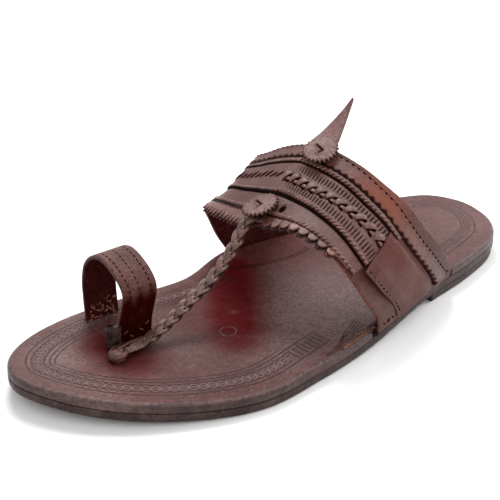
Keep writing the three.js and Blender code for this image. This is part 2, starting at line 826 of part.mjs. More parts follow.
const sandal = new THREE.Group();
sandal.add(leatherMesh('outsole', makeOutsole(), 'sole'));
sandal.add(leatherMesh('heel_lift', makeHeelLift(), 'sole'));
sandal.add(leatherMesh('insole', makeInsole(), 'footbed'));
sandal.add(leatherMesh('instep_band', makeBand(), 'band'));
sandal.add(leatherMesh('scalloped_strip', makeScallops(), 'overlay'));
sandal.add(leatherMesh('front_strip', makeFrontStrip(), 'overlay'));
sandal.add(leatherMesh('woven_strap', makeWovenStrap(), 'lace'));
sandal.add(leatherMesh('pinked_strip', makePinkedStrip(), 'overlay'));
sandal.add(leatherMesh('inner_patch', inner_patch_body, 'overlay'));
sandal.add(leatherMesh('outer_patch', outer_patch_body, 'overlay'));
sandal.add(leatherMesh('front_rosette', front_rosette_body, 'overlay'));
sandal.add(leatherMesh('rear_rosette', rear_rosette_body, 'overlay'));
sandal.add(leatherMesh('spike', makeSpike(spike_seat), 'overlay'));
sandal.add(leatherMesh('toe_loop', makeToeLoop(), 'band'));
sandal.add(leatherMesh('thong', makeThong(), 'lace'));
sandal.add(leatherMesh('thong_knot', makeKnot(), 'lace'));
sandal.add(leatherMesh('thong_post', makePost(), 'lace'));

export default sandal;
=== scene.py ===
"""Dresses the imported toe-loop sandal in its leathers. It runs as a script in Blender 4.5."""

import math

import bmesh
import bpy
import numpy as np
from bpy.props import FloatProperty, FloatVectorProperty, IntProperty, PointerProperty
from mathutils import Matrix, Vector


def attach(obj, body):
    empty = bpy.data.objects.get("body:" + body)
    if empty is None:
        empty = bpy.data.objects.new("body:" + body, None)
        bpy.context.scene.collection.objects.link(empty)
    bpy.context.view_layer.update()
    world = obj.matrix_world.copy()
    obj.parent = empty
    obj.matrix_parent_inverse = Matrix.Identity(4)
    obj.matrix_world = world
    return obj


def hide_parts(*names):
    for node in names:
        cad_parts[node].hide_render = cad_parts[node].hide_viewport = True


bl_info = {
    "name": "Toe-loop sandal",
    "version": (1, 0, 0),
    "blender": (4, 5, 0),
    "location": "View3D > Sidebar > Sandal",
    "description": "Leather layers, laces and finishes of a toe-loop sandal",
    "category": "Object",
}

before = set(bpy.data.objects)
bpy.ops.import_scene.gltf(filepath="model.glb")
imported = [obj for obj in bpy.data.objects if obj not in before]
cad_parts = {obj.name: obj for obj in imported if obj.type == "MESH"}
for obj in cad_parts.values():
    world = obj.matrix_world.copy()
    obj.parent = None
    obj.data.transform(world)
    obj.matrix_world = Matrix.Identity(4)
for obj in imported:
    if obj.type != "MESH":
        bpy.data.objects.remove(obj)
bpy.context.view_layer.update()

# Millimetres to metres: every shape below is worked out in millimetres
MM = 0.001

# Sole: stations are shares of its length from the heel, inner and outer are shares of its width
SOLE_LENGTH = 280.0
SOLE_WIDTH = 107.0
TREAD_STATION = 0.67
BREAST_STATION = 0.30
OUTSOLE_THICKNESS = 4.1
INSOLE_THICKNESS = 4.0
LAYER_GAP = 0.3
HEEL_RISE = 4.5
TOE_SPRING = 6.0
INSOLE_SETBACK = 0.5
BAND_WALL = 2.0

SOLE_OUTLINE = (
    (0.0, 0.1, -0.1),
    (0.025, 0.272, 0.112),
    (0.08, 0.356, 0.243),
    (0.18, 0.419, 0.319),
    (0.32, 0.423, 0.371),
    (0.49, 0.5, 0.461),
    (0.61, 0.417, 0.494),
    (0.73, 0.446, 0.5),
    (0.84, 0.441, 0.386),
    (0.925, 0.37, 0.224),
    (0.98, 0.258, 0.035),
    (1.0, 0.128, -0.128),
)

# Ribs of the band: share of the width, station, share of the crest height
FRONT_FEET = (0.476, 0.477)
REAR_FEET = (0.314, 0.252)
FRONT_CREST = 44.0
REAR_CREST = 63.0
FRONT_RIB = (
    (-0.532, 0.5, 0.19),
    (-0.54, 0.514, 0.4),
    (-0.508, 0.534, 0.6),
    (-0.385, 0.552, 0.7),
    (-0.235, 0.564, 0.765),
    (-0.093, 0.572, 0.85),
    (0.047, 0.568, 0.94),
    (0.168, 0.564, 0.985),
    (0.3, 0.559, 0.94),
    (0.392, 0.555, 0.855),
    (0.45, 0.543, 0.68),
    (0.476, 0.522, 0.44),
    (0.482, 0.492, 0.16),
)
REAR_RIB = (
    (-0.49, 0.33, 0.16),
    (-0.515, 0.37, 0.42),
    (-0.477, 0.412, 0.7),
    (-0.375, 0.418, 0.81),
    (-0.262, 0.417, 0.91),
    (-0.13, 0.416, 0.98),
    (-0.01, 0.412, 0.985),
    (0.11, 0.4, 0.91),
    (0.215, 0.388, 0.81),
    (0.315, 0.368, 0.68),
    (0.362, 0.332, 0.45),
    (0.378, 0.292, 0.24),
    (0.363, 0.262, 0.08),
)

# The band swells a little over the outer shoulder of the foot: how far, and where along
SHOULDER_SWELL = 1.5
SHOULDER_ALONG = 0.63

# Where each layer lies on the band: along from the inner foot, back from the front edge
SCALLOPS = (0.2, 0.76)
STRIPS = (0.15, 0.778)
FRONT_STRIP = (0.105, 0.262)
WOVEN = (0.27, 0.725)
PINKED = (0.79, 0.932)
INNER_PATCH = (0.02, 0.162)
OUTER_PATCH = (0.775, 0.98)
PATCH_BACK = 0.11
PATCH_SLANT = 0.11
VENT = (0.525, 0.18)
FRONT_ROSETTE = (0.475, 0.125)
REAR_ROSETTE = (0.512, 0.86)
FRONT_TILT = 15
REAR_TILT = 9
SLIT_TURN = -0.3

# Leaf: length, width and thickness in mm, then its shares of length, width and lift
LEAF_SIZE = (34.0, 15.0, 1.5)
LEAF_RUNS = (0, 0.2, 0.38, 0.58, 0.8, 1.0)
LEAF_WIDTHS = (0.86, 0.95, 0.77, 0.52, 0.26, 0.045)
LEAF_LIFTS = (0, 0, 0.01, 0.05, 0.115, 0.19)

# Grooves that set off the woven strap's front and rear cords: place back
FRONT_GROOVE = 0.277
REAR_GROOVE = 0.628
# Rows of slits in the woven strap: place back, half length and how much longer it grows
# outwards in mm, and how much of it shows on the inner half
SLIT_ROWS = ((0.372, 1.5, 0.6, 0.12), (0.56, 1.4, -0.3, 0.0))
# Rows of turns of its lace: place back, lean, length, width, rise and shift along in turns
LACE_ROWS = ((0.46, 0.74, 7.0, 3.1, 0.75, 0.0), (0.43, -0.3, 3.6, 1.7, 0.25, 0.42))

# How far back each line across the band lies beyond its nominal place, as shares of its depth:
# a row for each nominal place, a column for each place along
DRIFT_ALONG = (0.2, 0.3, 0.4, 0.48, 0.55, 0.62, 0.68, 0.74, 0.8, 0.92, 0.98)
DRIFT_BACK = (0.0, 0.125, 0.28, 0.372, 0.553, 0.628, 0.79, 0.903)
DRIFT = (
    (0, 0, 0, 0, 0, 0, 0, 0, 0, 0, 0),
    (0.065, 0.065, 0.06, 0.02, -0.035, -0.07, -0.088, -0.106, -0.106, -0.1, -0.05),
    (0.12, 0.12, 0.1, 0.09, 0.03, -0.035, -0.068, -0.112, -0.13, -0.13, -0.05),
    (0.11, 0.1, 0.1, 0.095, 0.025, -0.04, -0.083, -0.132, -0.145, -0.14, -0.05),
    (0.1, 0.09, 0.1, 0.11, 0.045, 0.005, -0.038, -0.082, -0.095, -0.09, -0.05),
    (0.11, 0.09, 0.1, 0.12, 0.08, 0.04, 0.002, -0.012, -0.025, -0.04, -0.04),
    (0.03, 0.03, 0.04, 0.05, 0.015, -0.008, -0.034, -0.08, -0.08, -0.075, -0.045),
    (0, 0, 0.02, 0.03, 0.008, -0.015, -0.038, -0.078, -0.085, -0.085, -0.045),
)

# Toe loop: middle across and station, then its section from the inner leg
LOOP_MIDDLE = (-0.238, 0.7875)
LOOP_WIDTH = 32.5
LOOP_HEIGHT = 35.5
LOOP_STRAP = 17.0
LOOP_WALL = 2.2
# Rows of stitches along the loop: place across, pitch, half width and the share that is open
LOOP_STITCHES = ((3.0, 2.9, 0.4, 0.7), (8.0, 2.9, 0.34, 0.66), (13.6, 2.9, 0.4, 0.7))
LOOP_SECTION = (
    (0.95, 0.3),
    (0.95, 0.56),
    (0.88, 0.79),
    (0.72, 0.94),
    (0.52, 1.0),
    (0.28, 0.94),
    (0.06, 0.8),
    (0.0, 0.68),
    (0.05, 0.47),
    (0.12, 0.24),
)

# Soft patches on the insole, in mm: across, ahead of or behind the tread, reach, and amount
DYE_PATCHES = (
    (-36.0, 41.0, 11.0, 1.0),
    (-28.0, 34.0, 12.0, 1.0),
    (-20.0, 27.0, 13.0, 1.0),
    (-12.0, 20.0, 13.0, 1.0),
    (-4.0, 13.0, 13.0, 1.0),
    (6.0, 7.0, 12.0, 1.0),
    (15.0, 0.0, 10.0, 0.8),
    (-24.0, 8.0, 12.0, 0.55),
    (-8.0, -2.0, 12.0, 0.45),
    (-40.0, 56.0, 13.0, 0.5),
    (-32.0, 74.0, 18.0, 0.4),
    (-14.0, -45.0, 11.0, 0.85),
    (1.0, -46.0, 12.0, 0.6),
    (-12.0, -38.0, 10.0, 0.6),
    (-30.0, -28.0, 10.0, 0.4),
)
# Lighter patches on the insole: partly real rubbed wear and partly painted sheen
RUBBED_AND_SHEEN_PATCHES = (
    (0.0, 38.0, 14.0, 0.6),
    (18.0, 42.0, 28.0, 1.2),
    (30.0, 12.0, 20.0, 0.7),
    (8.0, -20.0, 18.0, 0.3),
    (-4.0, 62.0, 18.0, 0.2),
    (8.0, 22.0, 16.0, 0.5),
    (10.0, -66.0, 18.0, 0.7),
    (-18.0, -68.0, 15.0, 1.0),
    (-46.0, -6.0, 10.0, 0.6),
    (-44.0, -44.0, 14.0, 0.6),
    (10.0, 170.0, 30.0, 0.35),
)

# Creases that fan out from the insole's outer notch: how many, the station they start at, the
# first one's run, and the gaps from the edge of the first and between each two, in mm
CREASES = 6
CREASE_START = 0.488
CREASE_RUN = 0.108
CREASE_GAPS = (0.2, 1.75)
# Creases across the insole under the band's inner side, drawn as dark rods of painted shade, in mm
CREASE_UNDER_BAND = ((-37.8, 39.2), (-34.2, 44.4), (-28.8, 57.3), (-25.0, 71.2), (-26.2, 82.0))

# Stamped border of the insole, in mm from its edge: middle and half width of each line, then
# the chain of rings and the shares of the outline where the chain and the bars after it end
BORDER_LINES = ((7.6, 0.42), (17.2, 0.4), (19.3, 0.4), (9.8, 0.3), (15.1, 0.3))
CHAIN_MIDDLE = 12.4
RING_PITCH = 4.2
CHAIN_END = 0.688
LADDER_END = 0.721

# Camera: where it looks in metres, how it is turned in degrees, its distance and its lens
CAMERA_AIM = (-0.0607, 0.0697, 0)
CAMERA_TURN = (48.66, 26.48, 0.97)
CAMERA_DISTANCE = 0.55087
CAMERA_LENS = 75.84192
CAMERA_SHIFT = (0.0134, 0.0014)

# Thong: share of the width, station, share of the front crest's height
THONG_ROUTE = (
    (-0.03, 0.824, 0.075),
    (-0.033, 0.8, 0.085),
    (-0.037, 0.772, 0.13),
    (-0.041, 0.742, 0.21),
    (-0.045, 0.707, 0.32),
    (-0.048, 0.668, 0.445),
    (-0.052, 0.637, 0.585),
    (-0.056, 0.611, 0.75),
    (-0.06, 0.59, 0.92),
)
# Knot and wrapped end: share of the width, station, and station whose floor they stand on
KNOT_PLACE = (-0.021, 0.848, 0.855)
POST_PLACE = (-0.106, 0.833, 0.846)


class SandalSizes(bpy.types.PropertyGroup):
    """Sizes of the leather work, in metres."""

    overlay: FloatProperty(name="Overlay", description="Thickness of the strips on the band",
                           default=0.0012, unit="LENGTH", min=0.0005, max=0.003)
    cord_pitch: FloatProperty(name="Cord twist", description="Length of one turn of the twisted cords",
                              default=0.0021, unit="LENGTH", min=0.001, max=0.006)
    bar_pitch: FloatProperty(name="Bar pitch", description="Distance between the bars of a slit row",
                             default=0.00165, unit="LENGTH", min=0.001, max=0.006)
    lace_pitch: FloatProperty(name="Lace pitch", description="Distance between the turns of the lace",
                              default=0.0051, unit="LENGTH", min=0.003, max=0.01)
    scallop_pitch: FloatProperty(name="Scallop pitch", description="Distance between the scallops",
                                 default=0.005, unit="LENGTH", min=0.003, max=0.012)
    tooth_pitch: FloatProperty(name="Tooth pitch", description="Distance between the pinked teeth",
                               default=0.0036, unit="LENGTH", min=0.0015, max=0.01)
    rosette: FloatProperty(name="Rosette", description="Diameter of the rosettes",
                           default=0.0185, unit="LENGTH", min=0.01, max=0.03)
    rosette_teeth: IntProperty(name="Rosette teeth", description="Teeth round each rosette",
                               default=24, min=8, max=60)
    plait_pitch: FloatProperty(name="Plait pitch", description="Length of one turn of the plaited thong",
                               default=0.0195, unit="LENGTH", min=0.01, max=0.04)


def colour_property(name, description, default):
    return FloatVectorProperty(name=name, description=description, default=default, subtype="COLOR",
                               size=3, min=0.0, max=1.0)


class SandalColours(bpy.types.PropertyGroup):
    """Colours of the leathers."""

    footbed: colour_property("Footbed", "Burnished insole", (0.09, 0.0245, 0.0225))
    sole: colour_property("Sole edge", "Waxed edges of the sole", (0.036, 0.017, 0.014))
    band: colour_property("Band", "Wall of the instep band", (0.074, 0.02, 0.015))
    strap: colour_property("Straps", "Strips and laces on the band", (0.094, 0.032, 0.025))
    warm: colour_property("Warm strip", "Orange-brown strip near the rear edge", (0.175, 0.056, 0.038))
    flesh: colour_property("Flesh side", "Dark red inner side of the leathers", (0.045, 0.0042, 0.0042))
    thong: colour_property("Thong", "Pale plaited laces", (0.11, 0.042, 0.032))
    # Lit edge: the cut edges' own dark red-brown with a painted highlight, an orange glint of light
    copper_and_glint: colour_property("Lit edge", "Coppery cut edges and thread", (0.1, 0.022, 0.011))


def smooth(low, high, value):
    """0 below low, 1 above high and an even rise between them."""
    u = np.clip((value - low) / (high - low), 0, 1)
    return u * u * (3 - 2 * u)


def station_y(station):
    return (TREAD_STATION - station) * SOLE_LENGTH


def station_of(y):
    return TREAD_STATION - y / SOLE_LENGTH


def sole_lift(station):
    """Height of the outsole's underside: the heel lift and arch behind, the toe spring ahead."""
    u = np.clip((station - 0.72) / 0.28, 0, 1)
    return HEEL_RISE * (1 - smooth(0.24, 0.62, station)) + TOE_SPRING * u * u


def outsole_top(station):
    return sole_lift(station) + OUTSOLE_THICKNESS


def insole_bottom(station):
    return outsole_top(station) + LAYER_GAP


def insole_top(station):
    return insole_bottom(station) + INSOLE_THICKNESS


def through(points, count, closed=False):
    """Evenly spaced points on a smooth curve through the given ones."""
    p = np.array(points, float)
    if closed:
        p = np.vstack([p[-1], p, p[0], p[1]])
    else:
        p = np.vstack([2 * p[0] - p[1], p, 2 * p[-1] - p[-2]])
    spans = []
    u = np.linspace(0, 1, 60, endpoint=False)[:, None]
    for a, b, c, d in zip(p[:-3], p[1:-2], p[2:-1], p[3:]):
        s, t, r = (np.linalg.norm(y - x) ** 0.5 for x, y in ((a, b), (b, c), (c, d)))
        leave = ((b - a) / s - (c - a) / (s + t) + (c - b) / t) * t
        enter = ((c - b) / t - (d - b) / (t + r) + (d - c) / r) * t
        spans.append((2 * u**3 - 3 * u**2 + 1) * b + (u**3 - 2 * u**2 + u) * leave
                     + (3 * u**2 - 2 * u**3) * c + (u**3 - u**2) * enter)
    line = np.vstack(spans + [p[1] if closed else p[-2]])
    run = np.concatenate([[0], np.cumsum(np.linalg.norm(np.diff(line, axis=0), axis=1))])
    places = np.linspace(0, run[-1], count + 1)
    return np.column_stack([np.interp(places, run, line[:, k]) for k in range(line.shape[1])])


def length_of(line):
    return float(np.linalg.norm(np.diff(line, axis=0), axis=1).sum())


INNER_SIDE = [(-inner * SOLE_WIDTH, station_y(s)) for s, inner, outer in SOLE_OUTLINE]
OUTER_SIDE = [(outer * SOLE_WIDTH, station_y(s)) for s, inner, outer in SOLE_OUTLINE[-2:0:-1]]
OUTLINE_STEPS = 560
outline = through(INNER_SIDE + OUTER_SIDE, OUTLINE_STEPS, closed=True)
outline_run = length_of(outline)
outline_turn = np.roll(outline[:-1], -1, axis=0) - np.roll(outline[:-1], 1, axis=0)
outline_turn /= np.linalg.norm(outline_turn, axis=1)[:, None]
outline_normal = np.column_stack([outline_turn[:, 1], -outline_turn[:, 0]])
outline_normal = np.vstack([outline_normal, outline_normal[:1]])


def sole_edge(side, station):
    """Place of the sole's edge across, on the inner (-1) or outer (1) side."""
    y = station_y(station)
    a, b = outline[:-1], outline[1:]
    crosses = ((a[:, 1] - y) * (b[:, 1] - y) <= 0) & (a[:, 1] != b[:, 1])
    a, b = a[crosses], b[crosses]
    x = a[:, 0] + (b[:, 0] - a[:, 0]) * (y - a[:, 1]) / (b[:, 1] - a[:, 1])
    return float(side * np.max(side * x))


def rib(rows, feet, crest):
    """A smooth curve over the band from the inner foot to the outer one."""

    def foot(side, station):
        return sole_edge(side, station), station_y(station), outsole_top(station) + LAYER_GAP

    points = [foot(-1, feet[0])]
    points += [(x * SOLE_WIDTH, station_y(s), insole_top(s) + rise * crest) for x, s, rise in rows]
    return through(points + [foot(1, feet[1])], 600)


front_curve = rib(FRONT_RIB, FRONT_FEET, FRONT_CREST)
rear_curve = rib(REAR_RIB, REAR_FEET, REAR_CREST)
shares = np.linspace(0, 1, 601)
band_girth = length_of(front_curve)


def along_curve(curve, along):
    along = np.clip(along, 0, 1)
    return np.column_stack([np.interp(along, shares, curve[:, k]) for k in range(3)])


def band_skin(along, back):
    """Points of the ruled surface between the band's front and rear edges."""
    front = along_curve(front_curve, along)
    return front + (along_curve(rear_curve, along) - front) * np.asarray(back)[:, None]


def unit(rows):
    return rows / np.maximum(np.linalg.norm(rows, axis=1), 1e-9)[:, None]


def laid(along, back):
    """Where a nominal place back really lies, with the drift of the layers."""
    along, back = np.broadcast_arrays(along, back)
    columns = np.array([np.interp(along, DRIFT_ALONG, row) for row in DRIFT])
    row = np.clip(np.interp(back, DRIFT_BACK, range(len(DRIFT_BACK))), 0, len(DRIFT_BACK) - 1.001)
    low = row.astype(int)
    pick = np.arange(len(low))
    return back + columns[low, pick] + (columns[low + 1, pick] - columns[low, pick]) * (row - low)


def skin_frame(along, back, settle=laid):
    """Points of the band's outer face with the directions along, back and out."""
    along, back = np.broadcast_arrays(np.atleast_1d(along), back)
    ahead, behind = np.minimum(along + 0.006, 1), np.maximum(along - 0.006, 0)
    point = band_skin(along, settle(along, back))
    across = unit(band_skin(ahead, settle(ahead, back)) - band_skin(behind, settle(behind, back)))
    rearward = unit(along_curve(rear_curve, along) - along_curve(front_curve, along))
    normal = unit(np.cross(across, rearward))
    swell = SHOULDER_SWELL * np.exp(-(((along - SHOULDER_ALONG) / 0.09) ** 2))
    return point + normal * swell[:, None], across, rearward, normal


def as_given(along, back):
    """Takes a nominal place back as it is, where the drift of the layers has no part."""
    return back


def frames(along, back, settle=laid):
    """The points and directions of skin_frame, one place after the other."""
    return zip(*skin_frame(along, back, settle))


def on_band(along, back, height, settle=laid):
    """Points at a height in mm over the band's outer face."""
    point, _, _, normal = skin_frame(along, back, settle)
    return point + normal * np.asarray(height)[:, None]


band_width = float(np.linalg.norm(band_skin([0.5], [0.0]) - band_skin([0.5], [1.0])))


def evenly(start, stop, pitch):
    """Places along the band that share the run from start to stop, at about the pitch in mm."""
    count = int((stop - start) * band_girth / pitch)
    return start + (np.arange(count) + 0.5) / count * (stop - start)


def paced(start, stop, pitch):
    """Places along the band from start to stop, just the pitch in mm apart."""
    count = int((stop - start) * band_girth / pitch)
    return start + (np.arange(count) + 0.5) * pitch / band_girth


def spaced(start, stop, step, ends=(0.0, 0.25, 0.6, 1.1)):
    """Grid lines from start to stop, closer together at both ends."""
    count = max(2, round((stop - start - 2 * ends[-1]) / step) + 1)
    inner = np.linspace(start + ends[-1], stop - ends[-1], count)
    low = [start + e for e in ends[:-1]]
    high = [stop - e for e in reversed(ends[:-1])]
    return np.array(low + list(inner) + high)


def rounded(distance, radius):
    """Share of the full height at a distance from a cut edge, with the edge eased over."""
    u = np.clip(distance / radius, 0, 1)
    return 0.45 + 0.55 * np.sqrt(np.clip(1 - (1 - u) ** 2, 0, 1))


def edge_distance(u, v, us, vs):
    """Distance from the nearest edge of a sheet with the grid lines us and vs."""
    return np.minimum(np.minimum(u - us[0], us[-1] - u), np.minimum(v - vs[0], vs[-1] - v))


def finish_piece(name, bm, materials, node):
    """Turns a bmesh in metres into a piece that stands for a solid of the frame."""
    mesh = bpy.data.meshes.new(name)
    bm.to_mesh(mesh)
    bm.free()
    mesh.polygons.foreach_set("use_smooth", [True] * len(mesh.polygons))
    for material in materials:
        mesh.materials.append(material)
    piece = bpy.data.objects.new(name, mesh)
    bpy.context.scene.collection.objects.link(piece)
    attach(piece, "root")
    if node:
        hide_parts(node)
    return piece


def marks(bm):
    """Layers that the leathers read: painted shade by how deep a point lies, and how much red dye it took."""
    layers = bm.verts.layers.float
    return layers.get("painted_shade") or layers.new("painted_shade"), layers.get("dye") or layers.new("dye")


def grid(columns, rows):
    """A flat bmesh with its columns at whole x and its rows at whole y, and its layers."""
    bm = bmesh.new()
    bmesh.ops.create_grid(bm, x_segments=columns, y_segments=rows, size=1.0)
    painted_shade, dye = marks(bm)
    uv = bm.loops.layers.uv.new("UVMap")
    for vert in bm.verts:
        vert.co.x = round((vert.co.x + 1) / 2 * columns)
        vert.co.y = round((vert.co.y + 1) / 2 * rows)
    return bm, painted_shade, dye, uv


def add_sheet(bm, us, vs, place, paint=None, weld=False, rim=2):
    """Adds a closed sheet to bm. us and vs are its grid lines; place turns arrays of u, v and
    side (1 is the outer face) into points in mm, and paint gives painted shade and dye."""
    sheet, painted_shade, dye, uv = grid(len(us) - 1, len(vs) - 1)
    for face in sheet.faces:
        for loop in face.loops:
            loop[uv].uv = (us[int(loop.vert.co.x)], vs[int(loop.vert.co.y)])
    made = bmesh.ops.extrude_face_region(sheet, geom=sheet.faces[:], use_keep_orig=True)
    for item in made["geom"]:
        if isinstance(item, bmesh.types.BMVert):
            item.co.z = 1
    for face in sheet.faces:
        heights = {round(vert.co.z) for vert in face.verts}
        face.material_index = 0 if heights == {1} else 1 if heights == {0} else rim
    at = np.array([vert.co[:] for vert in sheet.verts])
    u = np.asarray(us)[at[:, 0].astype(int)]
    v = np.asarray(vs)[at[:, 1].astype(int)]
    side = at[:, 2]
    points = place(u, v, side) * MM
    depth, red = paint(u, v, side) if paint else (np.zeros(len(u)), np.zeros(len(u)))
    for vert, point, d, r in zip(sheet.verts, points, depth, red):
        vert.co = point
        vert[painted_shade] = d
        vert[dye] = r
    if weld:
        bmesh.ops.remove_doubles(sheet, verts=sheet.verts[:], dist=1e-7)
    bmesh.ops.recalc_face_normals(sheet, faces=sheet.faces[:])
    join(bm, sheet)


def join(bm, other):
    """Moves one bmesh into another."""
    mesh = bpy.data.meshes.new("part")
    other.to_mesh(mesh)
    other.free()
    bm.from_mesh(mesh)
    bpy.data.meshes.remove(mesh)


def add_rod(bm, path, up, width, thickness, sides=10, material=0, depth=0.0, square=0.75, edges=0.0):
    """Adds a rod along a path in mm. width lies across the path and thickness along up; both
    may change along it. A small square makes it a strip, depth paints shade over it, and edges paints shade
    on its sides."""
    path = np.asarray(path, float)
    count = len(path)
    run = unit(np.gradient(path, axis=0))
    up = np.broadcast_to(np.asarray(up, float), path.shape)
    across = unit(np.cross(run, up))
    up = unit(np.cross(across, run))
    width = np.broadcast_to(np.asarray(width, float), (count,))
    thickness = np.broadcast_to(np.asarray(thickness, float), (count,))
    depth = np.broadcast_to(np.asarray(depth, float), (count,))
    new, painted_shade, _, uv = grid(sides, count - 1)
    travelled = np.concatenate([[0], np.cumsum(np.linalg.norm(np.diff(path, axis=0), axis=1))])
    for face in new.faces:
        face.material_index = material
        for loop in face.loops:
            loop[uv].uv = (loop.vert.co.x / sides * 10, travelled[int(loop.vert.co.y)])
    for vert in new.verts:
        turn = 2 * math.pi * vert.co.x / sides
        k = int(vert.co.y)
        flat = math.copysign(abs(math.cos(turn)) ** square, math.cos(turn))
        high = math.copysign(abs(math.sin(turn)) ** square, math.sin(turn))
        point = path[k] + across[k] * flat * width[k] / 2 + up[k] * high * thickness[k] / 2
        vert.co = Vector(point) * MM
        # painted shade: the rod darkens where its sides turn away from up
        vert[painted_shade] = max(depth[k], edges * (1 - smooth(0.05, 0.5, math.sin(turn))))
    bmesh.ops.remove_doubles(new, verts=new.verts[:], dist=1e-8)
    rims = [edge for edge in new.edges if edge.is_boundary]
    if rims:
        closed = bmesh.ops.holes_fill(new, edges=rims, sides=0)
        for face in closed["faces"]:
            face.material_index = material
    bmesh.ops.recalc_face_normals(new, faces=new.faces[:])
    join(bm, new)


def add_pads(bm, places, material=0, depth=0.0, sides=(10, 7), flat=1.0, shade_skirt=0.6):
    """Adds small pillows. Each place is (middle, long direction, normal, length, width, height).
    A small flat makes them blunt, depth paints shade over them, and the skirt paints shade on their lower
    half."""
    new = bmesh.new()
    painted_shade, _ = marks(new)
    for middle, long, normal, length, width, height in places:
        normal = Vector(normal).normalized()
        long = Vector(long)
        long = (long - normal * long.dot(normal)).normalized()
        side = normal.cross(long)
        turn = Matrix((long, side, normal)).transposed().to_4x4()
        size = Matrix.Diagonal((length / 2 * MM, width / 2 * MM, height / 2 * MM, 1))
        place = Matrix.Translation(Vector(middle) * MM) @ turn @ size
        made = bmesh.ops.create_uvsphere(new, u_segments=sides[0], v_segments=sides[1], radius=1.0)
        for vert in made["verts"]:
            # painted shade: the lower half of each pad is darkened
            vert[painted_shade] = max(depth, shade_skirt * (1 - smooth(-0.1, 0.45, vert.co.z)))
            vert.co.z = math.copysign(abs(vert.co.z) ** flat, vert.co.z)
            vert.co = place @ vert.co
    for face in new.faces:
        face.material_index = material
    join(bm, new)


def turned(across, rearward, angle):
    """A direction in the band's plane, turned from along towards back."""
    return np.asarray(across) * math.cos(angle) + np.asarray(rearward) * math.sin(angle)


# Leathers


class Shade:
    """Small helper that adds and links shader nodes."""

    def __init__(self, name):
        self.material = bpy.data.materials.new(name)
        self.material.use_nodes = True
        self.tree = self.material.node_tree
        self.tree.nodes.clear()
        self.out = self.add("ShaderNodeOutputMaterial")
        self.shader = self.add("ShaderNodeBsdfPrincipled")
        self.link(self.shader, "BSDF", self.out, "Surface")
        self.coords = self.add("ShaderNodeTexCoord")

    def add(self, kind, **values):
        node = self.tree.nodes.new(kind)
        for key, value in values.items():
            setattr(node, key, value)
        return node

    def link(self, source, output, target, entry):
        self.tree.links.new(source.outputs[output], target.inputs[entry])

    def noise(self, scale, detail=5.0, rough=0.6, stretch=None):
        node = self.add("ShaderNodeTexNoise")
        node.inputs["Scale"].default_value = scale
        node.inputs["Detail"].default_value = detail
        node.inputs["Roughness"].default_value = rough
        if stretch:
            mapping = self.add("ShaderNodeMapping")
            mapping.inputs["Scale"].default_value = stretch
            self.link(self.coords, "Object", mapping, "Vector")
            self.link(mapping, "Vector", node, "Vector")
        else:
            self.link(self.coords, "Object", node, "Vector")
        return node, "Fac"

    def ramp(self, source, low, high):
        node = self.add("ShaderNodeMapRange", interpolation_type="SMOOTHSTEP")
        self.link(*source, node, "Value")
        node.inputs["From Min"].default_value = low
        node.inputs["From Max"].default_value = high
        return node, "Result"

    def math(self, operation, first, second=None):
        node = self.add("ShaderNodeMath", operation=operation)
        for index, value in enumerate((first, second)):
            if value is None:
                continue
            if isinstance(value, tuple):
                self.link(*value, node, index)
            else:
                node.inputs[index].default_value = value
        return node, "Value"

    def mix(self, factor, first, second):
        node = self.add("ShaderNodeMix", data_type="RGBA")
        if isinstance(factor, tuple):
            self.link(*factor, node, 0)
        else:
            node.inputs[0].default_value = factor
        for index, value in ((6, first), (7, second)):
            if isinstance(value, tuple) and hasattr(value[0], "outputs"):
                self.link(*value, node, index)
            else:
                node.inputs[index].default_value = (*value, 1.0)
        return node, 2

    def attribute(self, name):
        return self.add("ShaderNodeAttribute", attribute_name=name), "Fac"

    def greatest(self, *parts):
        result = parts[0]
        for part in parts[1:]:
            result = self.math("MAXIMUM", result, part)
        return result

    def product(self, *parts):
        result = parts[0]
        for part in parts[1:]:
            result = self.math("MULTIPLY", result, part)
        return result

    def apart(self, value, centre):
        """Distance of a value from a centre."""
        return self.math("ABSOLUTE", self.math("SUBTRACT", value, centre))

    def turns(self, value, pitch):
        """Place of a value in its turn of a pattern with the given pitch, from 0 to 1."""
        return self.math("FRACT", self.math("DIVIDE", value, pitch))

    def separate(self, source):
        """The x and y of the Object or UV coordinates."""
        split = self.add("ShaderNodeSeparateXYZ")
        self.link(self.coords, source, split, "Vector")
        return (split, "X"), (split, "Y")

    def bump(self, height, distance, strength=1.0, under=None):
        node = self.add("ShaderNodeBump")
        node.inputs["Distance"].default_value = distance
        node.inputs["Strength"].default_value = strength
        self.link(*height, node, "Height")
        if under:
            self.link(*under, node, "Normal")
        return node, "Normal"


def scaled(colour, factor):
    return tuple(min(1.0, c * factor) for c in colour)


def dots(shade, centre, pitch, half_width, share):
    """1 inside a row of stitch holes at a distance centre across the piece's map."""
    over, along = shade.separate("UV")
    inside = shade.ramp(shade.apart(over, centre), half_width, half_width * 0.5)
    hole = shade.ramp(shade.apart(shade.turns(along, pitch), 0.5), share / 2, share / 2 - 0.12)
    return shade.product(inside, hole)


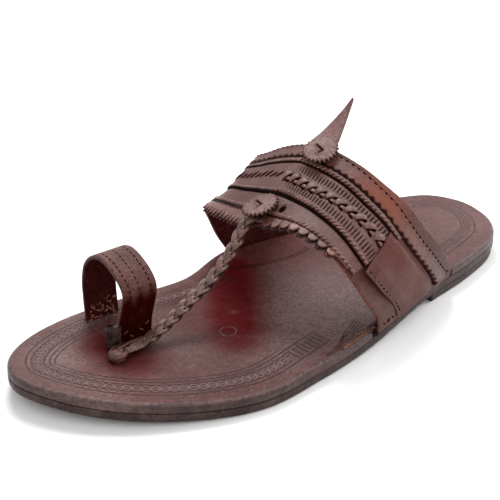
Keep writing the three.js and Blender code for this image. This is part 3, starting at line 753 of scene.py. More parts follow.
def leather(name, base, dark=0.5, light=1.55, rough=0.46, coat=0.0, shine=0.22, grain=0.6, crease=0.5,
            dye=(0.062, 0.0022, 0.003), holes=(), streak=None, mottle=0.6, fine=0.6,
            worn=(0.2, 0.115, 0.11), extra=None):
    """Waxed leather: uneven colour, pores, fine creases, painted shade in hollows and stitch holes. dark
    and light are how far the colour strays, and extra gives what is pressed and raised."""
    shade = Shade(name)
    broad = shade.ramp(shade.noise(34.0, 4.0), 0.36, 0.66)
    patch = shade.ramp(shade.noise(150.0, 6.0, 0.65), 0.4, 0.72)
    speck = shade.ramp(shade.noise(700.0, 3.0, 0.75), 0.5, 0.66)
    fleck = shade.ramp(shade.noise(560.0, 3.0, 0.75), 0.54, 0.7)
    deep = (base[0] * dark, base[1] * dark * 0.5, base[2] * dark * 0.5)
    pale = (base[0] * light, base[1] * light * 1.25, base[2] * light * 1.3)
    colour = shade.mix(shade.product(broad, mottle), base, deep)
    colour = shade.mix(shade.product(patch, mottle * 0.8), colour, pale)
    colour = shade.mix(shade.product(speck, fine), colour, scaled(deep, 0.7))
    colour = shade.mix(shade.product(fleck, fine * 0.8), colour, scaled(pale, 1.2))
    # worn colour: partly real rubbed wear and partly painted sheen
    rubbed = shade.math("ADD", shade.ramp(shade.noise(620.0, 4.0, 0.7), 0.4, 0.6), 0.35)
    colour = shade.mix(shade.product(shade.attribute("wear_and_sheen"), rubbed), colour, worn)
    if streak:
        fibres = shade.ramp(shade.noise(1.0, 5.0, 0.7, stretch=streak), 0.42, 0.66)
        colour = shade.mix(shade.product(fibres, 0.55), colour, scaled(base, 0.5))
    stain = shade.product(shade.ramp(shade.noise(210.0, 6.0, 0.7), 0.36, 0.64), 0.5)
    stain = shade.product(shade.attribute("dye"), shade.math("ADD", stain, 0.82))
    colour = shade.mix(stain, colour, dye)
    hollow_shade = shade.attribute("painted_shade")
    for row in holes:
        hollow_shade = shade.greatest(hollow_shade, dots(shade, *row))
    pressed = None
    if extra:
        pressed, raised = extra(shade)
        # painted shade in the pressed lines; painted highlight on the raised rings, while the pale scratch is
        # a real mark
        colour = shade.mix(shade.product(pressed, 0.7), colour, scaled(deep, 0.6))
        colour = shade.mix(shade.product(raised, 0.6), colour, worn)
    # painted shade: hollows, pressed grooves, creases, stitch holes and gaps between parts turn near black
    colour = shade.mix(hollow_shade, colour, (0.008, 0.0012, 0.001))
    shade.link(*colour, shade.shader, "Base Color")
    gloss = shade.product(shade.noise(260.0, 4.0), 0.3)
    gloss = shade.math("ADD", gloss, rough - 0.15)
    gloss = shade.math("ADD", gloss, shade.product(hollow_shade, 0.3))
    shade.link(*gloss, shade.shader, "Roughness")
    shade.shader.inputs["Coat Weight"].default_value = coat
    shade.shader.inputs["Coat Roughness"].default_value = 0.3
    bare = shade.math("SUBTRACT", 1.0, shade.greatest(shade.attribute("dye"), hollow_shade))
    bare = shade.greatest(bare, 0.08)
    shade.link(*shade.product(bare, shine), shade.shader, "Specular IOR Level")
    pores = shade.noise(1300.0, 3.0, 0.7)
    normal = shade.bump(pores, 0.0005, grain)
    wrinkles = shade.noise(1.0, 4.0, 0.6, stretch=(420.0, 300.0, 380.0))
    normal = shade.bump(wrinkles, 0.0004, crease, normal)
    if holes:
        normal = shade.bump(shade.product(hollow_shade, -1.0), 0.0005, 0.8, normal)
    if pressed:
        normal = shade.bump(shade.math("SUBTRACT", raised, pressed), 0.0006, 1.0, normal)
    shade.link(*normal, shade.shader, "Normal")
    return shade.material


def stamped_border(shade):
    """Lines, a chain of rings and heel ticks pressed round the insole, from its own map: u is
    the run round the edge and v the distance from it, both in mm."""
    run, depth = shade.separate("UV")

    def line(centre, half):
        return shade.ramp(shade.apart(depth, centre), half, half * 0.35)

    def between(low, high, value=run):
        return shade.product(shade.math("GREATER_THAN", value, low), shade.math("LESS_THAN", value, high))

    def ring(radius, half, lead=0.0):
        turn = shade.math("FRACT", shade.math("ADD", shade.math("DIVIDE", run, RING_PITCH), lead))
        x = shade.product(shade.math("SUBTRACT", turn, 0.5), RING_PITCH)
        y = shade.math("SUBTRACT", depth, CHAIN_MIDDLE)
        away = shade.math("SQRT", shade.math("ADD", shade.math("POWER", x, 2.0), shade.math("POWER", y, 2.0)))
        return shade.ramp(shade.apart(away, radius), half, half * 0.4)

    def bars(pitch, half, soft, low, high):
        bar = shade.ramp(shade.apart(shade.turns(run, pitch), 0.5), half, soft)
        return shade.product(bar, between(low, high, depth))

    chain_end, ladder_end = CHAIN_END * outline_run, LADDER_END * outline_run
    fore = between(outline_run * 0.27, outline_run * 0.727)
    heel = shade.math("SUBTRACT", 1.0, between(outline_run * 0.17, outline_run * 0.80))
    before_end = between(0.0, chain_end)
    chain = between(CHAIN_MIDDLE - 2.5, CHAIN_MIDDLE + 2.6, depth)
    rings = shade.greatest(ring(1.9, 0.65), ring(0.5, 0.5), ring(1.0, 0.4, 0.5))
    ground = shade.product(shade.math("SUBTRACT", chain, rings), 0.85)
    lines = [line(centre, half) for centre, half in BORDER_LINES]
    lines = shade.greatest(*lines, shade.greatest(ground, 0.0))
    pattern = shade.product(lines, shade.math("MINIMUM", fore, before_end))
    raised = shade.product(rings, chain, before_end, fore)
    ladder = shade.greatest(bars(2.7, 0.3, 0.12, 8.8, 15.6), line(7.6, 0.42), line(17.2, 0.4))
    ladder = shade.product(ladder, between(chain_end, ladder_end))
    ticks = shade.product(bars(3.0, 0.28, 0.1, 12.2, 16.6), 0.8)
    arc = shade.product(shade.greatest(line(10.2, 0.45), line(17.4, 0.3), ticks), heel)
    return shade.greatest(pattern, ladder, arc), shade.greatest(raised, scratches(shade))


def scratches(shade):
    """A pale oval scratch and a small rubbed dent on the insole, by their places in metres."""
    across, ahead = shade.separate("Object")
    wobble = shade.product(shade.noise(260.0, 2.0), 0.0034)

    def away(x, y):
        squares = [shade.math("POWER", shade.math("SUBTRACT", value, centre), 2.0)
                   for value, centre in ((across, x), (ahead, y))]
        return shade.math("ADD", shade.math("SQRT", shade.math("ADD", *squares)), wobble)

    oval = shade.ramp(shade.apart(away(0.0076, 0.0016), 0.0053), 0.0006, 0.0001)
    dent = shade.ramp(away(-0.004, 0.0142), 0.0052, 0.0012)
    return shade.greatest(shade.product(oval, 0.9), shade.product(dent, 0.5))


leathers = {}


def make_leathers(colours):
    """Mixes every leather once."""
    if leathers:
        return leathers
    c = {name: tuple(getattr(colours, name)) for name in
         ("footbed", "sole", "band", "strap", "warm", "flesh", "thong", "copper_and_glint")}
    sole, band_colour, strap = c["sole"], c["band"], c["strap"]
    leathers.update({
        "footbed": leather("burnished_insole", c["footbed"], rough=0.4, coat=0.06, grain=1.3, shine=0.3,
                           crease=1.9, light=1.85, fine=1.0, dye=(0.078, 0.0016, 0.0022),
                           extra=stamped_border),
        "sole_side": leather("waxed_edge", sole, rough=0.5, shine=0.3, crease=1.0, light=2.4, mottle=0.9,
                             fine=0.8, streak=(60.0, 60.0, 900.0)),
        "insole_side": leather("insole_edge", scaled(sole, 1.3), rough=0.44, shine=0.35, crease=0.9,
                               light=2.0, mottle=0.9, fine=0.8, streak=(50.0, 50.0, 700.0)),
        "underside": leather("tread_leather", scaled(sole, 1.8), rough=0.66, grain=0.9, crease=0.9),
        "band": leather("band_leather", band_colour, shine=0.25),
        "flesh": leather("flesh_side", c["flesh"], rough=0.8, shine=0.08, grain=0.9, dark=0.3, light=2.6,
                         fine=0.8),
        "rim": leather("cut_edge", scaled(strap, 0.45), rough=0.6),
        # painted highlight: orange glints of light on the edges' own dark red-brown
        "copper_and_glint": leather("lit_cut_edge", c["copper_and_glint"], rough=0.42, dark=0.3, light=2.2, mottle=1.0,
                          fine=1.0),
        "strap": leather("strap_leather", strap, rough=0.44, shine=0.35),
        "warm": leather("warm_strip", scaled(strap, 1.1), rough=0.42, shine=0.3, dye=c["warm"]),
        "rear": leather("rear_band_leather", band_colour, shine=0.25, dye=c["warm"]),
        "patch": leather("side_patch", scaled(band_colour, 1.05), rough=0.42, shine=0.25, mottle=0.9,
                         dye=(0.1, 0.02, 0.014)),
        "cord": leather("twisted_cord", scaled(strap, 1.45), rough=0.36, shine=0.5, light=2.0, mottle=0.9,
                        dark=0.4),
        "lace": leather("lace_leather", scaled(strap, 1.2), rough=0.36, shine=0.5, mottle=0.8),
        # painted shade: near-black leather for rods and pads in grooves, slits, holes and under laces
        "dark": leather("painted_groove_shade", (0.012, 0.003, 0.003), rough=0.8, shine=0.05),
        "thong": leather("thong_laces", c["thong"], rough=0.34, shine=0.5, mottle=0.9, dark=0.3, light=2.3,
                         grain=0.9, fine=0.95),
        "loop": leather("toe_loop_leather", (0.1, 0.031, 0.021), rough=0.44, shine=0.25, mottle=0.8,
                        grain=0.9, crease=1.2, fine=0.9, streak=(800.0, 70.0, 800.0),
                        dye=(0.03, 0.0015, 0.0012), holes=LOOP_STITCHES),
        "spike": leather("leaf_leather", (0.165, 0.079, 0.07), rough=0.42, shine=0.3),
        "rosette": leather("rosette_leather", (0.135, 0.056, 0.046), rough=0.44, shine=0.35, mottle=0.8,
                           fine=0.8),
        "fray": leather("frayed_fibres", (0.2, 0.065, 0.032), rough=0.5, shine=0.4, light=1.8, dark=0.2,
                        mottle=1.0),
        "thread": leather("dark_thread", (0.016, 0.004, 0.003), rough=0.6, shine=0.1),
        "grey": leather("wrapped_end", (0.03, 0.014, 0.011), rough=0.34, shine=0.15, light=3.2, mottle=1.0,
                        fine=0.9),
        "knot": leather("knot_leather", (0.075, 0.018, 0.011), rough=0.26, shine=0.5, mottle=1.0, dark=0.2,
                        light=2.8, fine=0.9),
    })
    return leathers


# Sole


def notch_depth(run_index):
    """How far the insole's edge steps in where the band passes down beside it."""
    y = outline[run_index, 1]
    x_side = outline_normal[run_index, 0]
    station = station_of(y)
    soft = 0.004
    rear = np.where(x_side < 0, REAR_FEET[0], REAR_FEET[1]) - 0.002
    front = np.where(x_side < 0, FRONT_FEET[0], FRONT_FEET[1]) + 0.012
    inside = smooth(rear - soft, rear, station) * (1 - smooth(front, front + soft, station))
    return inside * (BAND_WALL + LAYER_GAP + INSOLE_SETBACK)


def sole_layer(rows, bottom, top, notched=False):
    """A closed layer of the sole as a bmesh. rows climb its side and then run inwards over its
    top: inset, level from underside to top, and material."""
    bm, _, _, uv = grid(OUTLINE_STEPS, len(rows) - 1)
    at = np.array([vert.co[:2] for vert in bm.verts]).astype(int)
    inset = np.array([row[0] for row in rows])[at[:, 1]]
    level = np.array([row[1] for row in rows])[at[:, 1]]
    if notched:
        inset = inset + notch_depth(at[:, 0]) * (1 - smooth(1.8, 9.0, inset))
    flat = outline[at[:, 0]] - outline_normal[at[:, 0]] * inset[:, None]
    station = station_of(flat[:, 1])
    low, high = bottom(station), top(station)
    z = low + (high - low) * level
    for face in bm.faces:
        row = min(int(vert.co.y) for vert in face.verts)
        face.material_index = rows[row][2]
        for loop in face.loops:
            column, line = int(loop.vert.co.x), int(loop.vert.co.y)
            turn = column / OUTLINE_STEPS
            bend = 2.8 * smooth(0.66, 0.725, turn) * (1 - smooth(0.74, 0.77, turn))
            loop[uv].uv = (outline_run * turn, rows[line][0] - (bend if notched else 0))
    # painted highlight along the insole's rounded top edge, partly its real worn line
    wear_and_sheen = bm.verts.layers.float.new("wear_and_sheen")
    for vert, (x, y), height, share in zip(bm.verts, flat, z, level):
        vert.co = Vector((x, y, height)) * MM
        vert[wear_and_sheen] = 0.4 if notched and 0.8 < share < 0.96 else 0.0
    bmesh.ops.remove_doubles(bm, verts=bm.verts[:], dist=2e-6)
    fill = bm.faces.layers.int.new("fill")
    rims = [edge for edge in bm.edges if edge.is_boundary]
    closed = bmesh.ops.holes_fill(bm, edges=rims, sides=0)["faces"]
    heights = [np.mean([vert.co.z for vert in face.verts]) for face in closed]
    for face, height in zip(closed, heights):
        face.material_index = rows[-1][2] if height == max(heights) else 3
        face[fill] = 1
        for loop in face.loops:
            loop[uv].uv = (0, 30)
    cuts = [((0, station_y(station) * MM, 0), (0, 1, 0)) for station in np.arange(0.01, 0.995, 0.01)]
    if notched:
        cuts += [((x * MM, 0, 0), (1, 0, 0)) for x in np.arange(-48.0, 48.0, 3.2)]
    for place, direction in cuts:
        fills = [face for face in bm.faces if face[fill]]
        edges = {edge for face in fills for edge in face.edges}
        corners = {vert for face in fills for vert in face.verts}
        bmesh.ops.bisect_plane(bm, geom=fills + list(edges) + list(corners), dist=1e-7,
                               plane_co=place, plane_no=direction)
    bmesh.ops.recalc_face_normals(bm, faces=bm.faces[:])
    return bm


def outsole(context):
    """The outsole with its arch and toe spring, and the heel lift under it."""
    mats = make_leathers(context.scene.sandal_colours)
    rows = [(9.0, 0, 2), (5.0, 0, 2), (2.0, 0, 2), (0.95, 0, 0), (0.45, 0.08, 0), (0.1, 0.25, 0), (0, 0.5, 0),
            (0, 0.82, 0), (0.03, 0.97, 0), (0.14, 1, 0), (3.0, 1, 1), (8.0, 1, 1)]
    bm = sole_layer(rows, sole_lift, outsole_top)
    faces = [mats["sole_side"], mats["flesh"], mats["underside"], mats["underside"]]
    finish_piece("outsole_leather", bm, faces, "outsole")
    rows = [(9.0, 0, 2), (4.0, 0, 2), (1.6, 0, 2), (0.9, 0.1, 0), (0.55, 0.35, 0), (0.5, 0.8, 0),
            (0.75, 1, 0), (4.0, 1, 1), (8.0, 1, 1)]
    bm = sole_layer(rows, lambda s: 0 * s, lambda s: sole_lift(s) - LAYER_GAP)
    cut = bmesh.ops.bisect_plane(bm, geom=bm.verts[:] + bm.edges[:] + bm.faces[:], dist=1e-7,
                                 plane_co=(0, station_y(BREAST_STATION) * MM, 0), plane_no=(0, -1, 0),
                                 clear_outer=True)
    rims = [edge for edge in cut["geom_cut"] if isinstance(edge, bmesh.types.BMEdge)]
    for face in bmesh.ops.holes_fill(bm, edges=rims, sides=0)["faces"]:
        face.material_index = 0
    bmesh.ops.recalc_face_normals(bm, faces=bm.faces[:])
    finish_piece("heel_lift_leather", bm, faces, "heel_lift")


def insole(context):
    """The insole, notched where the band passes down beside it."""
    mats = make_leathers(context.scene.sandal_colours)
    rows = [(8.0, 0, 1), (3.0, 0, 1), (0.22, 0, 0), (0.1, 0.03, 0), (0.08, 0.1, 0), (0.15, 0.5, 0),
            (0.35, 0.68, 0), (0.75, 0.83, 0), (1.3, 0.93, 0), (1.9, 0.985, 2), (2.3, 1, 2)]
    rows += [(float(d), 1, 2) for d in np.arange(2.8, 22.0, 1.3)]
    bm = sole_layer(rows, insole_bottom, insole_top, notched=True)
    paint_insole(bm)
    insole_threads(context)
    finish_piece("insole_leather", bm, [mats["insole_side"], mats["flesh"], mats["footbed"], mats["flesh"]],
                 "insole")


def on_insole(places, height, count):
    """A smooth path on the insole through (x, y) places."""
    return through([(x, y, insole_top(station_of(y)) + height) for x, y in places], count)


def insole_threads(context):
    """Twisted thread along the insole's edge before the band, and dark rods that paint the shade in the
    insole's creases.
    """
    mats = make_leathers(context.scene.sandal_colours)
    bm = bmesh.new()
    edge = [(sole_edge(1, s) - 1.6, station_y(s)) for s in (0.484, 0.5, 0.52, 0.54, 0.565)]
    path = on_insole(edge, 0.35, 80)
    angle = np.linspace(0, 20, len(path))
    for lead in (0.0, math.pi):
        coil = path + np.column_stack([0.35 * np.cos(angle + lead), 0 * angle, 0.3 * np.sin(angle + lead)])
        add_rod(bm, coil, (0, 0, 1), 0.6, 0.6, sides=6)
    t = np.linspace(0, 1, 10)
    for k in range(CREASES):
        s = CREASE_START + (CREASE_RUN - 0.011 * k + 0.008 * (k % 2)) * t
        gap = CREASE_GAPS[0] + CREASE_GAPS[1] * k
        inset = 2.7 + gap * (1 - 0.5 * t**1.5) + 0.3 * np.sin(s * 160 + k)
        places = [(sole_edge(1, q) - away, station_y(q)) for q, away in zip(s, inset)]
        # painted shade: dark rods in the fanning creases
        add_rod(bm, on_insole(places, 0.0, 50), (0, 0, 1), 0.3, 0.2, sides=6, material=1, depth=0.4)
    for offset in (0.0, 1.6):
        places = [(x + offset, y) for x, y in CREASE_UNDER_BAND]
        # painted shade: dark rods in the creases under the band
        add_rod(bm, on_insole(places, 0.0, 70), (0, 0, 1), 0.5, 0.25, sides=6, material=1, depth=0.5)
    chance = np.random.default_rng(8)
    t = np.linspace(0, 1, 8)
    for s, lean in zip(chance.uniform(0.482, 0.52, 7), chance.uniform(-1, 1, 7)):
        start = np.array([sole_edge(1, s) - 1.8, station_y(s), insole_top(s) + 0.3])
        path = start + np.column_stack([2.2 * lean * t, -1.5 * t, 1.2 * np.sin(t * 2.6)])
        add_rod(bm, path, (0, 0, 1), 0.5, 0.4, sides=6)
    finish_piece("insole_threads", bm, [mats["fray"], mats["thread"]], None)


def paint_insole(bm):
    """Red dye, and rubbed places that are partly real wear and partly painted sheen, in broad soft patches,
    and painted shade round the loop's feet.
    """
    painted_shade, dye = marks(bm)
    wear_and_sheen = bm.verts.layers.float["wear_and_sheen"]
    feet = [(loop_x(0.92), station_y(LOOP_MIDDLE[1])), (loop_x(0.15), station_y(LOOP_MIDDLE[1]))]
    for vert in bm.verts:
        x, y = vert.co.x * 1000, vert.co.y * 1000
        red = 0.0
        for px, py, reach, amount in DYE_PATCHES:
            away = ((x - px) ** 2 + (y - py) ** 2) / reach**2
            near = math.exp(-away)
            red = max(red, amount * near * (2 - near))
        vert[dye] = red
        rubbed = [amount * math.exp(-((x - px) ** 2 + (y - py) ** 2) / reach**2)
                  for px, py, reach, amount in RUBBED_AND_SHEEN_PATCHES]
        vert[wear_and_sheen] = max(vert[wear_and_sheen], max(rubbed) * (1 - red))
        # painted shade: a contact shadow round the feet of the toe loop
        for px, py in feet:
            near = max(abs(x - px) - LOOP_WALL / 2, (abs(y - py) - LOOP_STRAP / 2), 0)
            vert[painted_shade] = max(vert[painted_shade], 0.6 * math.exp(-near / 1.5))


# Band and the layers on it


def band(context):
    """The wall of the instep band, with a row of stitches above each foot."""
    mats = make_leathers(context.scene.sandal_colours)
    us = spaced(0, band_girth, 2.2)
    vs = spaced(0, band_width, 1.8)

    def place(u, v, side):
        along, back = u / band_girth, v / band_width
        recess = 0.004 * smooth(0.18, 0.2, along) * (1 - smooth(0.76, 0.78, along))
        back = back + recess * (1 - smooth(0, 0.1, back))
        ease = rounded(edge_distance(u, v, us, vs), 0.9)
        middle = -BAND_WALL / 2
        height = np.where(side > 0, middle + BAND_WALL / 2 * ease, middle - BAND_WALL / 2 * ease)
        return on_band(along, back, height, as_given)

    def paint(u, v, side):
        line = laid(u / band_girth, 0.93)
        rear = smooth(line - 0.02, line + 0.01, v / band_width)
        return np.zeros(len(u)), warm_patch(u + 4, v) * rear * (side > 0) * 0.75

    bm = bmesh.new()
    add_sheet(bm, us, vs, place, paint)
    for foot in (0.022, 0.971):
        places = enumerate(frames(foot, np.arange(0.06, 0.96, 0.055), as_given))
        stitches = [(p + n * 0.1, r + a * (-1) ** k, n, 2.4, 0.9, 0.9) for k, (p, a, r, n) in places]
        add_pads(bm, stitches, 2, 0.8, sides=(6, 5))
    finish_piece("instep_band_leather", bm, [mats["rear"], mats["flesh"], mats["rim"]],
                 "instep_band")


def band_strip(bm, alongs, backs, low, high, step=(1.2, 1.0), front=None, depth=None, radius=0.7,
               wave=None, red=None):
    """A strip laid on the band between two heights. front moves its front edge, depth presses
    its top down and wave lifts it, all in mm."""
    us = spaced(alongs[0] * band_girth, alongs[1] * band_girth, step[0])
    vs = spaced(backs[0] * band_width, backs[1] * band_width, step[1])

    def place(u, v, side):
        along = u / band_girth
        shift = front(u) * (1 - smooth(vs[0], vs[0] + 3.5, v)) if front else 0.0
        ease = rounded(edge_distance(u, v, us, vs), radius)
        top = low + (high - low) * ease
        if depth is not None:
            top = top - depth(u, v)
        if wave is not None:
            top = top + wave(u, v)
        return on_band(along, (v + shift) / band_width, np.where(side > 0, top, low))

    def paint(u, v, side):
        pressed = np.zeros(len(u))
        if depth is not None:
            # painted shade: the deeper the strip is pressed, the darker it is
            pressed = np.clip(depth(u, v) / (high - low), 0, 1) * (side > 0)
        return pressed, (red(u, v) if red else np.zeros(len(u)))

    add_sheet(bm, us, vs, place, paint, rim=1)


def cord(bm, back, alongs, height, pitch, length=3.3, width=1.5, thick=1.5, lean=0.62):
    """A cord laid along the band: short turns that lean one over the next."""
    places = [(p + n * height, turned(a, r, lean), n, length, width, thick)
              for p, a, r, n in frames(paced(*alongs, pitch), back)]
    add_pads(bm, places, sides=(8, 6))


def thread_line(bm, back, alongs, height, width, material=0):
    """A round thread laid along the band."""
    along = np.linspace(alongs[0], alongs[1], 160)
    point, _, _, normal = skin_frame(along, back)
    add_rod(bm, point + normal * height, normal, width, width, sides=6, material=material)


def stitch_row(bm, route, height, pitch, size, material=0, depth=0.0):
    """Stitches along a route of (along, back) points on the band, each with the given size."""
    route = np.asarray(route, float)
    flat = route * (band_girth, band_width)
    run = np.concatenate([[0], np.cumsum(np.linalg.norm(np.diff(flat, axis=0), axis=1))])
    spots = np.arange(pitch / 2, run[-1], pitch)
    along = np.interp(spots, run, route[:, 0])
    back = np.interp(spots, run, route[:, 1])
    ahead = np.interp(spots + 0.5, run, route[:, 0]), np.interp(spots + 0.5, run, route[:, 1])
    point, _, _, normal = skin_frame(along, back)
    towards = band_skin(ahead[0], laid(*ahead)) - point
    places = [(p + n * height, t, n, *size) for p, t, n in zip(point, towards, normal)]
    add_pads(bm, places, material, depth, sides=(6, 4))


def scallops(context):
    """The strip along the front edge: round scallops outside, narrow tabs inside."""
    mats = make_leathers(context.scene.sandal_colours)
    sizes = context.scene.sandal_sizes
    bm = bmesh.new()
    top = LAYER_GAP + sizes.overlay / MM
    band_strip(bm, SCALLOPS, (0.02, 0.1), LAYER_GAP, top, step=(1.6, 0.8))
    pitch = sizes.scallop_pitch / MM
    upper, lower = [], []
    for p, a, r, n in frames(evenly(0.5, 0.725, pitch), 0.018):
        upper.append((p + n * 1.1 + r * 0.2, a, n, pitch * 0.98, 5.6, 1.1))
        lower.append((p - r * 1.0 - n * 0.1 - a * 0.6, a, n, pitch * 0.98, 5.0, 1.3))
    # painted shade: the scallops' lower halves are darkened
    add_pads(bm, upper, sides=(18, 9), flat=0.35, shade_skirt=0.95)
    add_pads(bm, lower[:-1], 1, sides=(16, 9), flat=0.6)
    add_pads(bm, lower[-1:], 2, sides=(16, 9), flat=0.6)
    tabs, fringe = [], []
    for p, a, r, n in frames(evenly(0.21, 0.47, 3.1), 0.014):
        long = turned(a, r, 1.25)
        tabs.append((p + n * 0.9, long, n, 4.6, 2.6, 1.5))
        fringe.append((p - r * 1.3 - n * 0.5, long, n, 3.6, 1.9, 1.3))
    add_pads(bm, tabs)
    # the fringe and the last lower scallop take the lit edge colour, partly a painted highlight
    add_pads(bm, fringe, 2)
    finish_piece("scalloped_edge", bm, [mats["cord"], mats["rim"], mats["copper_and_glint"]],
                 "scalloped_strip")
    bm = bmesh.new()
    thread_line(bm, 0.098, SCALLOPS, top - 0.1, 0.8)
    stitch_row(bm, [(0.2, 0.086), (0.76, 0.086)], top, 2.6, (1.3, 0.7, 0.6))
    # rods along the front edge in the lit edge colour, partly a painted highlight
    thread_line(bm, 0.004, (0.73, 0.985), -0.7, 1.1, 1)
    thread_line(bm, 0.004, (0.015, 0.21), -0.7, 1.1, 1)
    finish_piece("front_edge_threads", bm, [mats["thread"], mats["copper_and_glint"]], None)


def front_strip(context):
    """The plain strip with its round hole and its twisted cord."""
    mats = make_leathers(context.scene.sandal_colours)
    sizes = context.scene.sandal_sizes
    bm = bmesh.new()
    top = LAYER_GAP + sizes.overlay / MM
    vent = (VENT[0] * band_girth, VENT[1] * band_width)

    def hole(u, v):
        away = np.hypot(u - vent[0], v - vent[1])
        return 1.15 * (1 - smooth(1.3, 1.75, away))

    band_strip(bm, STRIPS, FRONT_STRIP, LAYER_GAP, top, step=(0.6, 0.5), depth=hole)
    finish_piece("front_strip_leather", bm, [mats["strap"], mats["rim"]], "front_strip")
    bm = bmesh.new()
    point, across, _, normal = next(frames(*VENT))
    # painted shade: a dark disc in the round hole
    add_pads(bm, [(point + normal * (top - 0.25), across, normal, 3.1, 3.1, 0.7)], 1, 1.0, sides=(14, 6))
    cord(bm, 0.125, (0.49, STRIPS[1]), top + 0.35, sizes.cord_pitch / MM)
    thread_line(bm, 0.128, (STRIPS[0], 0.495), top, 1.5)
    # painted shade: a dark line along the strip's front edge
    thread_line(bm, 0.108, (STRIPS[0], 0.495), top - 0.3, 0.8, 1)
    finish_piece("front_cord", bm, [mats["cord"], mats["dark"]], None)


def woven_strap(context):
    """The middle strap: two rows of slits, twisted cords and the lace."""
    mats = make_leathers(context.scene.sandal_colours)
    sizes = context.scene.sandal_sizes
    bm = bmesh.new()
    top = LAYER_GAP + 1.7
    bar = sizes.bar_pitch / MM

    def slits(u, v):
        along = u / band_girth
        outward = smooth(0.54, 0.76, along)
        pressed = np.zeros(len(u))
        for line, half, longer, faint in SLIT_ROWS:
            over = v - (line + 0.03 * outward) * band_width
            half = half + longer * outward
            turn = np.mod((u + over * 0.16) / bar, 1.0)
            gap = smooth(0.05, 0.2, turn) * (1 - smooth(0.37, 0.52, turn))
            amount = (faint + (1 - faint) * smooth(0.47, 0.5, along)) * smooth(0.36, 0.4, along)
            inside = 1 - smooth(half - 0.4, half + 0.1, np.abs(over))
            pressed = np.maximum(pressed, 1.1 * amount * gap * inside)
        # the pressed slits and grooves get painted shade through band_strip
        outer_end = 1 - smooth(0.765, 0.78, along)
        groove = 1.5 * (1 - smooth(0.35, 0.8, np.abs(v - REAR_GROOVE * band_width)))
        front_groove = 1.5 * (1 - smooth(0.25, 0.6, np.abs(v - FRONT_GROOVE * band_width)))
        return np.maximum(pressed * outer_end, np.maximum(groove, front_groove))

    band_strip(bm, STRIPS, WOVEN, LAYER_GAP, top, step=(0.24, 0.5), depth=slits)
    finish_piece("woven_strap_leather", bm, [mats["strap"], mats["rim"]], "woven_strap")
    bm = bmesh.new()
    outer = (0.47, STRIPS[1])
    inner = (STRIPS[0], 0.475)
    cord(bm, 0.3, outer, top + 0.3, sizes.cord_pitch / MM)
    cord(bm, 0.655, outer, top + 0.2, sizes.cord_pitch / MM, length=3.0, lean=0.7, width=1.3)
    cord(bm, 0.7, (0.53, 0.755), top - 0.5, 2.9, length=2.8, width=1.5, thick=1.0, lean=0.9)
    thread_line(bm, 0.302, inner, top - 0.2, 1.5)
    thread_line(bm, 0.66, inner, top - 0.2, 1.3)
    # painted shade: dark rods in the grooves beside the cords
    thread_line(bm, REAR_GROOVE, inner, top - 0.25, 1.1, 1)
    thread_line(bm, 0.28, inner, top - 0.3, 1.1, 1)
    thread_line(bm, FRONT_GROOVE, outer, top - 0.7, 1.0, 1)
    thread_line(bm, REAR_GROOVE, outer, top - 0.6, 1.2, 1)
    inner_slits(bm, top)
    finish_piece("strap_cords", bm, [mats["cord"], mats["dark"], mats["strap"]], None)
    lace(context, top)


def inner_slits(bm, top):
    """Slanted slits on the inner half of the woven strap, each a dark pad of painted shade with a lifted lip.
    """
    spots = evenly(0.2, 0.455, 3.4)
    sway = np.sin(np.arange(len(spots)) * 2.1)
    slits, lips = [], []
    for (p, a, r, n), w in zip(frames(spots, 0.478 + 0.008 * sway), sway):
        long = turned(a, r, 0.8 + 0.12 * w)
        slits.append((p + n * top, long, n, 5.4 + w * 0.6, 1.2, 0.7))
        lips.append((p + n * (top + 0.1) - a * 1.1, long, n, 4.6, 1.5, 0.9))
    # painted shade: dark pads fill the slits
    add_pads(bm, slits, 1, 1.0, sides=(8, 6))
    add_pads(bm, lips, 2, sides=(10, 6))


def lace(context, top):
    """The lace drawn through the middle of the woven strap: two rows of turns that lap, each
    turn over a dark shadow."""
    mats = make_leathers(context.scene.sandal_colours)
    pitch = context.scene.sandal_sizes.lace_pitch / MM
    bm = bmesh.new()
    spots = paced(0.455, 0.785, pitch)
    shadows = []
    for back, lean, length, width, rise, shift in LACE_ROWS:
        along = spots + shift * pitch / band_girth
        for p, a, r, n in frames(along, back + 0.085 * smooth(0.52, 0.78, along)):
            long = turned(a, r, lean)
            side = np.cross(n, long)
            t = np.linspace(-0.5, 0.5, 13)[:, None]
            path = p + long * t * length + n * (top + rise + 0.5 * t - 1.5 * np.abs(2 * t) ** 2.6)
            path = path + side * 0.45 * np.sin(t * math.pi)
            slim = 1 - 0.5 * np.abs(2 * t[:, 0]) ** 4
            add_rod(bm, path, n, width * slim, 1.3 * slim, sides=12, square=0.5, edges=0.95)
            shadows.append((p - side * 0.9 + n * (top + 0.05), long, n, length * 0.95, width * 0.9, 0.9))
    add_pads(bm, shadows, 1, 1.0, sides=(10, 5))
    finish_piece("strap_lace", bm, [mats["lace"], mats["dark"]], None)


def warm_patch(u, _):
    """Where the rear strips are worn to a warm orange-brown."""
    return 0.95 * np.exp(-(((u / band_girth - 0.695) / 0.075) ** 2))


def over_patch(u, v):
    """Lift of the pinked strip's front edge where it laps over a side patch."""
    along = u / band_girth
    over = 0.45 + 0.25 * smooth(0.74, 0.76, along) + 0.25 * (1 - smooth(0.15, 0.17, along))
    return 0.3 + over * (1 - smooth(0.8, 0.89, v / band_width))


